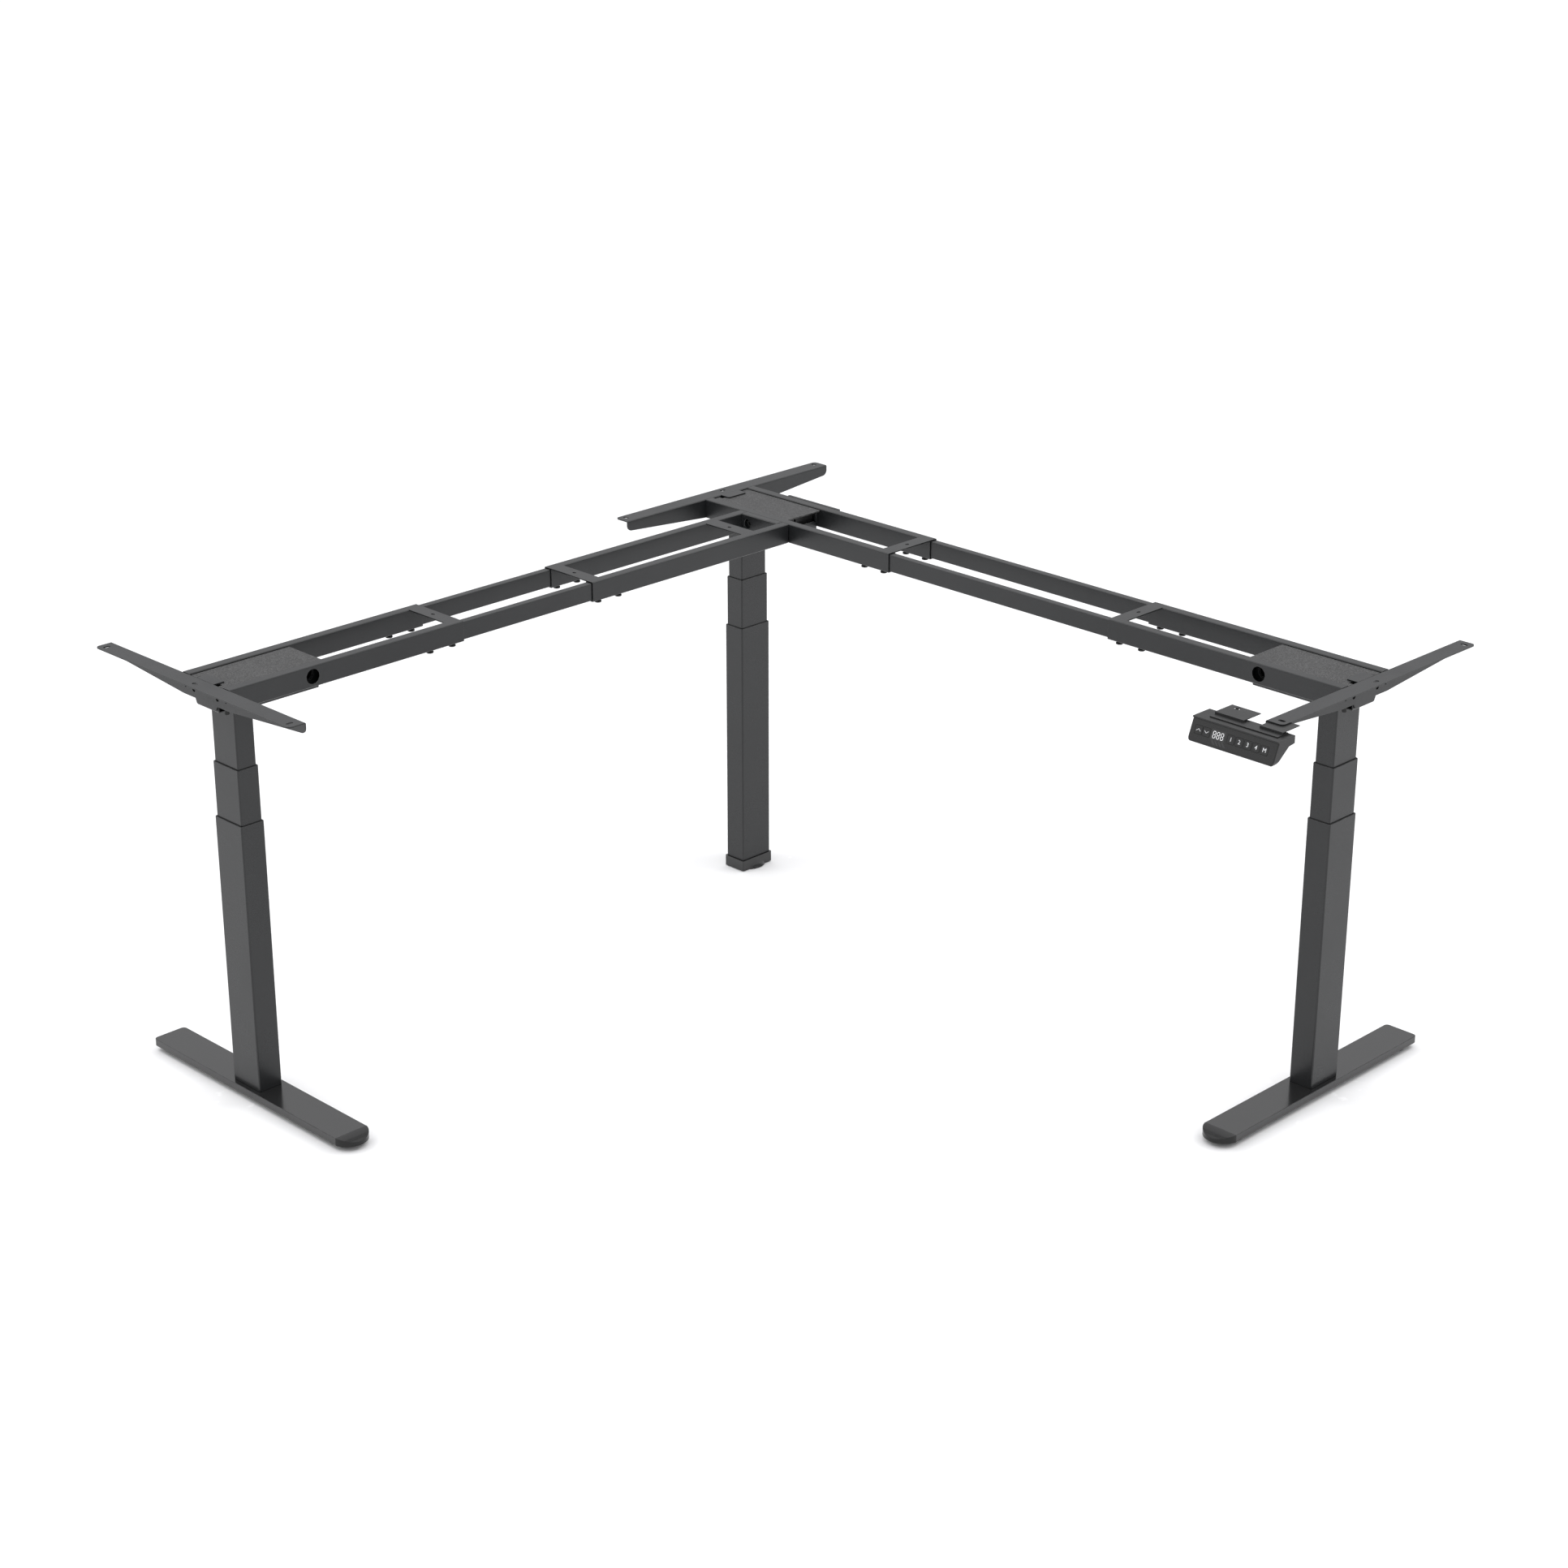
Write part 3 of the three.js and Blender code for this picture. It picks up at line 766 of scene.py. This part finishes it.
def add_brackets():
    low, high = local_box("side_bracket_corner", LEGS["corner"])
    half = high.y
    top = high.z
    web = low.x + BRACKET_WEB
    tip, shoulder, foot = top - BRACKET_TIP, top - BRACKET_SHOULDER, top - BRACKET_FOOT
    outline = [(-half, top), (-half, tip), (-SHOULDER_HALF, shoulder)]
    outline += [(-FOOT_TOP_HALF, shoulder), (-FOOT_BOTTOM_HALF, foot)]
    outline += [(-y, z) for y, z in reversed(outline)]
    bracket = new_outline("bracket", [Vector((web, y, z)) for y, z in outline])
    with Edit(bracket) as edit:
        edit.pick("EDGE", lambda edge: runs(edge, 1) and middle(edge).z > top - 1e-5)
        edit.extrude((low.x - web, 0, 0))
        edit.round_corners(
            lambda corner: abs(abs(corner.co.y) - half) < 1e-6 and corner.co.z < tip + 1e-6, 0.010
        )
        edit.round_corners(lambda corner: abs(corner.co.x - low.x) < 1e-6, 0.008)
        edit.round_edges(
            lambda edge: runs(edge, 1) and len(edge.link_faces) == 2 and middle(edge).z > top - 1e-5, BEND
        )
        edit.pick("FACE", lambda face: True)
        bpy.ops.mesh.normals_make_consistent(inside=False)
    if sum(face.normal.x * face.area for face in bracket.data.polygons) < 0:
        bracket.data.flip_normals()
    thicken(bracket, SHEET)
    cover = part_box("cover_plate_corner")[1].z
    tab = new_box("tab", (web - 0.0015, -0.025, cover + 0.0003), (web + 0.023, 0.025, top))
    with Edit(tab) as edit:
        edit.round_edges(lambda edge: runs(edge, 2) and middle(edge).x > web, 0.004)
    combine(bracket, [tab], "UNION")
    slots = [new_slot_cutter(0.014, 0.007, (SLOT_LINE, y, top), 0) for y in (-SLOT_REACH, SLOT_REACH)]
    slots.append(new_slot_cutter(0.014, 0.007, (SLOT_LINE, 0, top), 1))
    holes = [
        new_rod("hole", radius, (web - 0.01, side * y, top - drop), (web + 0.01, side * y, top - drop))
        for y, radius, drop in ((WEB_SCREWS, 0.0045, WEB_SCREW_DROP), (TRAY_SCREWS, 0.0026, TRAY_SCREW_DROP))
        for side in (-1, 1)
    ]
    combine(bracket, slots + holes)
    finish_piece(bracket, "graphite_coat", 0.0004)
    for leg, place in LEGS.items():
        made = copied(bracket, f"bracket_{leg}", place)
        stand_for(made, f"side_bracket_{leg}")
    discard(bracket)


def add_trays():
    low, high = local_box("gearbox_tray_corner", LEGS["corner"])
    tray = new_box("tray", low, high)
    with Edit(tray) as edit:
        edit.pick("FACE", lambda face: face.normal.z > 0.5 or face.normal.x > 0.5)
        bpy.ops.mesh.delete(type="FACE")
        edit.round_edges(
            lambda edge: len(edge.link_faces) == 2 and middle(edge).z < high.z - 0.001, BEND
        )
    thicken(tray, TRAY_SHEET)
    flap_top = low.z + FLAP_HEIGHT
    flap_low = (high.x - TRAY_SHEET, low.y + 0.0002, low.z + 0.0002)
    flap = new_box("flap", flap_low, (high.x, high.y - 0.0002, flap_top))
    with Edit(flap) as edit:
        edit.round_edges(lambda edge: runs(edge, 0) and middle(edge).z > flap_top - 1e-5, 0.010)
        edit.round_edges(lambda edge: runs(edge, 0) and middle(edge).z < low.z + 0.001, BEND)
    combine(tray, [flap], "UNION")
    rail_low, rail_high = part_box("main_front_rail_end")
    height = (rail_low.z + rail_high.z) / 2
    cable = new_rod("cable", CABLE_HOLE - 0.002, (CABLE_REACH, -0.1, height), (CABLE_REACH, 0.1, height), 48)
    corners = [
        new_box("corner", (low.x - 0.01, near, low.z - 0.01), (TRAY_NECK_END, far, low.z + 0.014))
        for near, far in ((-0.06, -TRAY_NECK), (TRAY_NECK, 0.06))
    ]
    screw_hole = new_rod("screw_hole", 0.013, (0, 0, low.z - 0.01), (0, 0, low.z + 0.01), 48)
    combine(tray, [cable, screw_hole, *corners])
    finish_piece(tray, "graphite_coat", 0.0003)
    guard = high.x - GUARD_STEP
    wall_high = (guard + 0.0015, high.y - 0.0025, high.z)
    wall = new_box("wall", (guard, low.y + 0.0025, low.z + 0.0025), wall_high)
    notch = new_box("notch", (guard - 0.01, -0.006, high.z - 0.018), (guard + 0.01, -0.001, high.z + 0.01))
    combine(wall, [notch])
    finish_piece(wall, "motor_paint", 0.0003)
    low, high = local_box("cover_plate_corner", LEGS["corner"])
    cover = new_box("cover", low, high)
    with Edit(cover) as edit:
        edit.round_edges(lambda edge: runs(edge, 2), 0.002)
    half, end = COVER_NOTCH
    combine(cover, [new_box("notch", (low.x - 0.01, -half, low.z - 0.01), (end, half, high.z + 0.01))])
    finish_piece(cover, "speckled_coat", 0.0005)
    for leg, place in LEGS.items():
        stand_for(copied(tray, f"tray_{leg}", place), f"gearbox_tray_{leg}")
        stand_for(copied(cover, f"cover_{leg}", place), f"cover_plate_{leg}")
        attach(copied(wall, f"motor_guard_{leg}", place), f"gearbox_tray_{leg}")
    discard(tray, cover, wall)


# ---------------------------------------------------------------- rails


def new_rail(node, arm, free_end, cable):
    """An outer rail with its clamp screw holes and, near a leg, its cable hole."""
    low, high = local_box(node, ARMS[arm])
    if node.startswith("return") and node.endswith("corner"):
        low.x += SEAM
    rail = new_tube("rail", low, high, 0, RAIL_CORNER, RAIL_WALL)
    inward = -1 if free_end > (low.x + high.x) / 2 else 1
    across = (low.y + high.y) / 2
    tools = []
    for step in CLAMP_STEPS:
        x = free_end + inward * step
        start = Vector((x, across, low.z - 0.003))
        tools.append(new_rod("hole", CLAMP_HOLE, start, start + Vector((0, 0, 0.006))))
    if cable is not None:
        height = (low.z + high.z) / 2
        ends = [(cable, y, height) for y in (low.y - 0.01, high.y + 0.01)]
        tools.append(new_rod("hole", CABLE_HOLE, *ends, 64))
    combine(rail, tools)
    return finish_piece(rail, "graphite_coat", 0.0003)


def add_crossbar(node, name, arm):
    """A plate welded flush between two rails, with one screw slot."""
    low, high = local_box(node, ARMS[arm])
    reach = Vector((0, CROSSBAR_REACH, 0))
    plate = new_box("plate", low - reach, high + reach)
    centre = (low + high) / 2
    combine(plate, [new_slot_cutter(0.009, 0.006, centre, 1)])
    finish_piece(plate, "graphite_coat", 0.0002)
    made = copied(plate, name, ARMS[arm])
    stand_for(made, node)
    discard(plate)


def new_clamp_bolt():
    """A cap screw with a low round head, standing a little proud of its rail. Its origin is on the rail."""
    shank = new_rod("bolt", 0.003, (0, 0, 0.003), (0, 0, -0.005), 24)
    head = new_rod("head", 0.0068, (0, 0, -0.0032), (0, 0, -0.0062), 40)
    with Edit(head) as edit:
        edit.round_edges(lambda edge: abs(middle(edge).z + 0.0062) < 1e-5, 0.0014, 4)
    combine(shank, [head], "UNION")
    combine(shank, [new_rod("socket", 0.0024, (0, 0, -0.0048), (0, 0, -0.008), 6)])
    return finish_piece(shank, "black_bolt", 0.0002)


def add_arm(arm):
    place = ARMS[arm]
    ends = {}
    for section in ("corner", "end"):
        node = f"{arm}_front_rail_{section}"
        low, high = local_box(node, place)
        free_end = high.x if section == "corner" else low.x
        leg_axis = (place.inverted() @ LEGS[arm].translation).x
        cable = leg_axis - CABLE_REACH if section == "end" else None
        rail = new_rail(node, arm, free_end, cable)
        ends[section] = free_end
        for rank in ("front", "rear"):
            here = local_box(f"{arm}_{rank}_rail_{section}", place)[0]
            shift = Matrix.Translation(here - low)
            made = copied(rail, f"rail_{arm}_{rank}_{section}", place @ shift)
            stand_for(made, f"{arm}_{rank}_rail_{section}")
        discard(rail)
        add_crossbar(f"{arm}_cross_plate_{section}", f"crossbar_{arm}_{section}", arm)
    low, high = local_box(f"{arm}_front_slider", place)
    slider = finish_piece(new_tube("slider", low, high, 0, SLIDER_CORNER, RAIL_WALL), "graphite_coat", 0.0003)
    for rank in ("front", "rear"):
        here = local_box(f"{arm}_{rank}_slider", place)[0]
        made = copied(slider, f"slide_rail_{arm}_{rank}", place @ Matrix.Translation(here - low))
        stand_for(made, f"{arm}_{rank}_slider")
    discard(slider)
    return ends


def add_clamp_bolts(ends):
    bolt = new_clamp_bolt()
    for arm, free_ends in ends.items():
        for section, free_end in free_ends.items():
            inward = -1 if section == "corner" else 1
            for rank in ("front", "rear"):
                node = f"{arm}_{rank}_rail_{section}"
                low, high = local_box(node, ARMS[arm])
                for count, step in enumerate(CLAMP_STEPS, 1):
                    spot = (free_end + inward * step, (low.y + high.y) / 2, low.z)
                    name = f"clamp_bolt_{arm}_{rank}_{section}_{count}"
                    attach(copied(bolt, name, ARMS[arm] @ Matrix.Translation(spot)), node)
    discard(bolt)


def add_column_bolts():
    """The cap screws under each tray that hold it to the column."""
    tray_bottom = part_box("gearbox_tray_corner")[0].z
    along, across = COLUMN_BOLTS
    bolt = new_rod("bolt", 0.0042, (0, 0, 0), (0, 0, -BOLT_HEAD), 40)
    with Edit(bolt) as edit:
        edit.round_edges(lambda edge: abs(middle(edge).z + BOLT_HEAD) < 1e-5, 0.0008, 3)
    combine(bolt, [new_rod("socket", 0.0022, (0, 0, -0.004), (0, 0, -0.01), 6)])
    finish_piece(bolt, "black_bolt", 0.0003)
    for leg, place in LEGS.items():
        for side, word in ((-1, "left"), (1, "right")):
            spot = Matrix.Translation((along, side * across, tray_bottom - 0.0002))
            attach(copied(bolt, f"column_bolt_{leg}_{word}", place @ spot), f"gearbox_tray_{leg}")
    discard(bolt)


def add_web_screws():
    """The screws sunk in each bracket's holes, which hold it to its tray and rails."""
    low, high = local_box("side_bracket_corner", LEGS["corner"])
    inside = low.x + BRACKET_WEB
    height = high.z - WEB_SCREW_DROP
    socket = new_rod("screw", 0.0034, (inside, 0, height), (inside - 0.0008, 0, height), 40)
    combine(socket, [new_rod("hex", 0.0019, (inside - 0.0003, 0, height), (inside - 0.004, 0, height), 6)])
    finish_piece(socket, "black_bolt", 0.0002)
    height = high.z - TRAY_SCREW_DROP
    pan = new_rod("pan", 0.0020, (inside, 0, height), (inside - 0.0012, 0, height), 32, 0.0017)
    cross = [
        new_box("cross", (inside - 0.003, -a, height - b), (inside - 0.0006, a, height + b))
        for a, b in ((0.0012, 0.00025), (0.00025, 0.0012))
    ]
    combine(pan, cross)
    finish_piece(pan, "bright_screw", 0.0001)
    for leg, place in LEGS.items():
        for side, word in ((-1, "left"), (1, "right")):
            here = Matrix.Translation((0, side * WEB_SCREWS, 0))
            attach(copied(socket, f"socket_screw_{leg}_{word}", place @ here), f"side_bracket_{leg}")
            here = Matrix.Translation((0, side * TRAY_SCREWS, 0))
            attach(copied(pan, f"pan_screw_{leg}_{word}", place @ here), f"side_bracket_{leg}")
    discard(socket, pan)


def add_corner_joint():
    """What closes the return arm's inner end, and the seat where that arm goes on the other hand."""
    place = ARMS["return"]
    low, high = local_box("return_joint_angle", place)
    corners = [(low.y, low.z), (high.y, low.z), (high.y, high.z), (low.y, high.z)]
    angle = new_outline("angle", [Vector((high.x, y, z)) for y, z in corners])
    with Edit(angle) as edit:
        edit.pick("EDGE", lambda edge: runs(edge, 1) and middle(edge).z > high.z - 1e-5)
        edit.extrude((low.x - high.x, 0, 0))
        edit.round_edges(lambda edge: len(edge.link_faces) == 2, BEND)
        edit.pick("FACE", lambda face: True)
        bpy.ops.mesh.normals_make_consistent(inside=False)
    if sum(face.normal.x * face.area for face in angle.data.polygons) < 0:
        angle.data.flip_normals()
    thicken(angle, SHEET)
    holes = [
        new_rod("hole", JOINT_HOLE, (high.x - 0.01, y, JOINT_HEIGHT), (high.x + 0.01, y, JOINT_HEIGHT), 48)
        for y in (-JOINT_BOLTS, JOINT_BOLTS)
    ]
    combine(angle, holes)
    finish_piece(angle, "graphite_coat", 0.0004)
    stand_for(copied(angle, "angle_joint", place), "return_joint_angle")
    back, washer_face, head_start, hex_floor, head_face, clear = [
        (low.x + step, 0, JOINT_HEIGHT) for step in (0, 0.0016, 0.0018, 0.005, 0.0095, 0.02)
    ]
    washer = new_rod("washer", 0.0080, back, washer_face, 48)
    head = new_rod("head", 0.0068, head_start, head_face, 48)
    combine(head, [new_rod("hex", 0.0040, hex_floor, clear, 6)])
    finish_piece(washer, "bright_screw", 0.0003)
    finish_piece(head, "black_bolt", 0.0006, 3)
    for side, word in ((-1, "right"), (1, "left")):
        here = place @ Matrix.Translation((0, side * JOINT_BOLTS, 0))
        attach(copied(washer, f"joint_washer_{word}", here), "return_joint_angle")
        attach(copied(head, f"joint_bolt_{word}", here), "return_joint_angle")
    discard(angle, washer, head)
    add_crossbar("return_cross_plate_joint", "crossbar_return_joint", "return")
    low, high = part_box("mirror_seat_plate")
    seat = new_box("seat_mirror", low, high)
    with Edit(seat) as edit:
        edit.round_edges(lambda edge: runs(edge, 2) and middle(edge).y > high.y - 1e-5, 0.002, 3)
    for step in (-JOINT_BOLTS, JOINT_BOLTS):
        x = (low.x + high.x) / 2 + step
        ends = [(x, y, JOINT_HEIGHT) for y in (low.y - 0.01, high.y + 0.01)]
        combine(seat, [new_rod("hole", 0.0045, *ends)])
    finish_piece(seat, "graphite_coat", 0.0005)
    stand_for(seat, "mirror_seat_plate")


# ---------------------------------------------------------------- keypad

CASE_LOW, CASE_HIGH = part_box("keypad_housing")
CASE_LENGTH = CASE_HIGH.x - CASE_LOW.x
LIP = CASE_LOW.y - PANEL_FOOT.x  # the lip's front edge


def panel_place():
    """The frame of the sloped panel: X along it, Y up its slope and Z out of its face."""
    centre = (PANEL_TOP + PANEL_FOOT) / 2
    up = Vector((0, *(PANEL_TOP - PANEL_FOOT))).normalized()
    along = Vector((1, 0, 0))
    turn = Matrix((along, up, along.cross(up))).transposed().to_4x4()
    spot = Vector(((CASE_LOW.x + CASE_HIGH.x) / 2, LIP + centre.x, CASE_HIGH.z + centre.y))
    return Matrix.Translation(spot) @ turn


PANEL = panel_place()
PANEL_SLOPE = (PANEL_TOP - PANEL_FOOT).length


def rounded_plate(name, width, height, bottom, top, centre, corner, only_lower=False):
    """A flat plate on the panel, with round corners in its outline."""
    x, y = centre
    plate = new_box(name, (x - width / 2, y - height / 2, bottom), (x + width / 2, y + height / 2, top))
    with Edit(plate) as edit:
        edit.round_edges(lambda edge: runs(edge, 2) and not (only_lower and middle(edge).y > y), corner, 6)
    return plate


def key_cutters(side, bottom, top, corner):
    return [
        rounded_plate("cutter", side, side, bottom, top, (along - CASE_LENGTH / 2, KEY_UP), corner)
        for along in KEYS.values()
    ]


def add_case():
    top = CASE_HIGH.z
    profile = [(0, 0), (0, -0.0025), tuple(PANEL_TOP), tuple(PANEL_FOOT), (-0.0105, -0.0425)]
    profile += [(-0.003, -0.0415), (0.030, -0.016), (0.046, -0.014), (0.046, 0)]
    case = new_outline("case", [Vector((CASE_LOW.x, LIP + y, top + z)) for y, z in profile])
    with Edit(case) as edit:
        edit.pick("FACE", lambda face: True)
        edit.extrude((CASE_LENGTH, 0, 0))
        edit.pick("FACE", lambda face: True)
        bpy.ops.mesh.normals_make_consistent(inside=False)
        edit.round_edges(lambda edge: runs(edge, 0) and middle(edge).z < top - 0.039, 0.0012, 3)
    trim_high = (CASE_HIGH.x, CASE_HIGH.y + 0.02, top + 0.03)
    trim = new_box("trim", (CASE_LOW.x, CASE_LOW.y - 0.02, CASE_LOW.z), trim_high)
    with Edit(trim) as edit:
        edit.round_edges(lambda edge: runs(edge, 1) and middle(edge).z < top - 0.03, 0.008, 8)
    combine(case, [trim], "INTERSECT")
    cutters = key_cutters(KEY_SIDE + 0.0008, -0.0036, 0.003, 0.0018)
    for cutter in cutters:
        cutter.matrix_world = PANEL
        settle(cutter)
    combine(case, cutters)
    finish_piece(case, "case_plastic", 0.0004, 3)
    case.name = "keypad_case"
    stand_for(case, "keypad_housing")


def add_panel_film():
    """The smooth front of the case, with its display window and the four slanted bars under it."""
    film = rounded_plate(
        "film", CASE_LENGTH - 0.004, PANEL_SLOPE - 0.0035, 0.00002, 0.0003, (0, 0.0008), 0.0065, True
    )
    combine(film, key_cutters(KEY_SIDE + 0.0008, -0.001, 0.001, 0.0018))
    finish_piece(film, "panel_film", 0.0001)
    display = DISPLAY_ALONG - CASE_LENGTH / 2
    window = rounded_plate("window", *DISPLAY, 0.0003, 0.00045, (display, KEY_UP), 0.0006)
    finish_piece(window, "display_window", 0.00005)
    attach(copied(film, "keypad_film", PANEL), "keypad_housing")
    attach(copied(window, "display_window", PANEL), "keypad_housing")
    bars = []
    for count in range(4):
        left = display - 0.0125 + count * 0.0072
        bar = new_box("bar", (left, -0.0155, 0.0003), (left + 0.0045, -0.0082, 0.00036))
        with Edit(bar) as edit:
            edit.pick("VERT", lambda corner: corner.co.y < -0.012)
            bpy.ops.transform.translate(value=(0.0065, 0, 0))
        bars.append(bar)
    stripes = finish_piece(joined("stripes", bars), "stripe_print", 0)
    attach(copied(stripes, "keypad_bars", PANEL), "keypad_housing")
    discard(film, window, stripes)


def add_digits():
    """Three figures of seven lit segments each."""
    wide, tall, stroke = 0.0044, 0.0057, 0.00085
    segment = new_box("segment", (-wide / 2, -stroke / 2, 0), (wide / 2, stroke / 2, 0.00015))
    with Edit(segment) as edit:
        edit.round_edges(lambda edge: runs(edge, 2), stroke / 2 - 0.00002, 1)
    finish_piece(segment, "digit_light", 0)
    level = [(0, offset * tall, 0) for offset in (-1, 0, 1)]
    upright = [(side * (wide / 2 + 0.0003), half * tall / 2, 0) for side in (-1, 1) for half in (-1, 1)]
    made = []
    for figure in (-1, 0, 1):
        centre = Vector((DISPLAY_ALONG - CASE_LENGTH / 2 + figure * 0.0082, KEY_UP, 0.00045))
        for spot in level:
            made.append(copied(segment, "lit", PANEL @ Matrix.Translation(centre + Vector(spot))))
        for spot in upright:
            quarter = Matrix.Rotation(math.pi / 2, 4, "Z")
            made.append(copied(segment, "lit", PANEL @ Matrix.Translation(centre + Vector(spot)) @ quarter))
    attach(joined("display_digits", made), "keypad_housing")
    discard(segment)


def new_arrow(direction):
    """A chevron of two strokes that meet at the top or the bottom of a key."""
    strokes = []
    for side in (-1, 1):
        stroke = new_box("stroke", (-0.0030, -0.00038, 0), (0.0030, 0.00038, 0.00006))
        lean = Matrix.Rotation(-side * direction * math.radians(40), 4, "Z")
        stroke.matrix_world = Matrix.Translation((side * 0.0021, 0, 0)) @ lean
        strokes.append(settle(stroke))
    combine(strokes[0], [strokes[1]], "UNION")
    return finish_piece(strokes[0], "legend_ink", 0)


def new_legend(letter):
    """A printed figure, as a thin mesh."""
    bpy.ops.object.select_all(action="DESELECT")
    bpy.ops.object.text_add()
    text = bpy.context.object
    text.data.body = letter
    text.data.size = 0.0105
    text.data.extrude = 0.00003
    text.data.align_x = "CENTER"
    text.data.align_y = "CENTER"
    text.data.resolution_u = 6
    bpy.ops.object.convert(target="MESH")
    with Edit(text) as edit:
        edit.pick("VERT", lambda corner: True)
        bpy.ops.mesh.remove_doubles(threshold=1e-6)
    return finish_piece(text, "legend_ink", 0)


def add_keys():
    thick = 0.003
    key = rounded_plate("key", KEY_SIDE, KEY_SIDE, KEY_PROUD - thick, KEY_PROUD, (0, 0), 0.0015)
    finish_piece(key, "key_plastic", 0.0004, 3)
    legends = {"raise": new_arrow(1), "lower": new_arrow(-1)}
    legends.update({name: new_legend(letter) for name, letter in zip(list(KEYS)[2:], "1234M")})
    for name, along in KEYS.items():
        here = PANEL @ Matrix.Translation((along - CASE_LENGTH / 2, KEY_UP, 0))
        stand_for(copied(key, f"key_{name}", here), f"button_{name}")
        above = here @ Matrix.Translation((0, 0, KEY_PROUD + 0.00002))
        attach(copied(legends[name], f"legend_{name}", above), f"button_{name}")
    discard(key, *legends.values())


def add_mount():
    """The two-tongued plate that the case hangs from."""
    node = frame["nodes"]["keypad_bracket"]
    mount = copied(node, "keypad_mount", Matrix.Identity(4))
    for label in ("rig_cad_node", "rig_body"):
        del mount[label]
    mount.parent = None
    with Edit(mount) as edit:
        edit.pick("VERT", lambda corner: True)
        bpy.ops.mesh.remove_doubles(threshold=1e-6)
        edit.pick("FACE", lambda face: True)
        bpy.ops.mesh.dissolve_limited(angle_limit=math.radians(1))
    finish_piece(mount, "mount_plastic", 0.0003)
    stand_for(mount, "keypad_bracket")
    low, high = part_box("keypad_bracket")
    reach = Vector((low.x + 0.018, high.y - 0.010, high.z - 0.0015))
    screw = new_clamp_bolt()
    attach(copied(screw, "keypad_screw", Matrix.Translation(reach)), "keypad_bracket")
    discard(screw)


# ---------------------------------------------------------------- assembly


def dress_inner_nodes():
    """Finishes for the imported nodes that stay: the drives inside the trays and columns."""
    for leg in LEGS:
        for node, finish in ((f"gear_motor_{leg}", "motor_paint"), (f"lead_screw_{leg}", "oiled_thread")):
            slots = frame["nodes"][node].material_slots
            for slot in slots:
                slot.material = FINISH[finish]


def add_floor():
    bpy.ops.object.select_all(action="DESELECT")
    bpy.ops.mesh.primitive_plane_add(size=80)
    floor = bpy.context.object
    floor.name = "studio_floor"
    floor.data.materials.append(FINISH["studio_floor"])


add_camera()
add_studio()
add_floor()
dress_inner_nodes()
add_columns()
add_feet()
add_corner_base()
add_brackets()
add_trays()
add_clamp_bolts({arm: add_arm(arm) for arm in ARMS})
add_column_bolts()
add_web_screws()
add_corner_joint()
add_case()
add_panel_film()
add_digits()
add_keys()
add_mount()
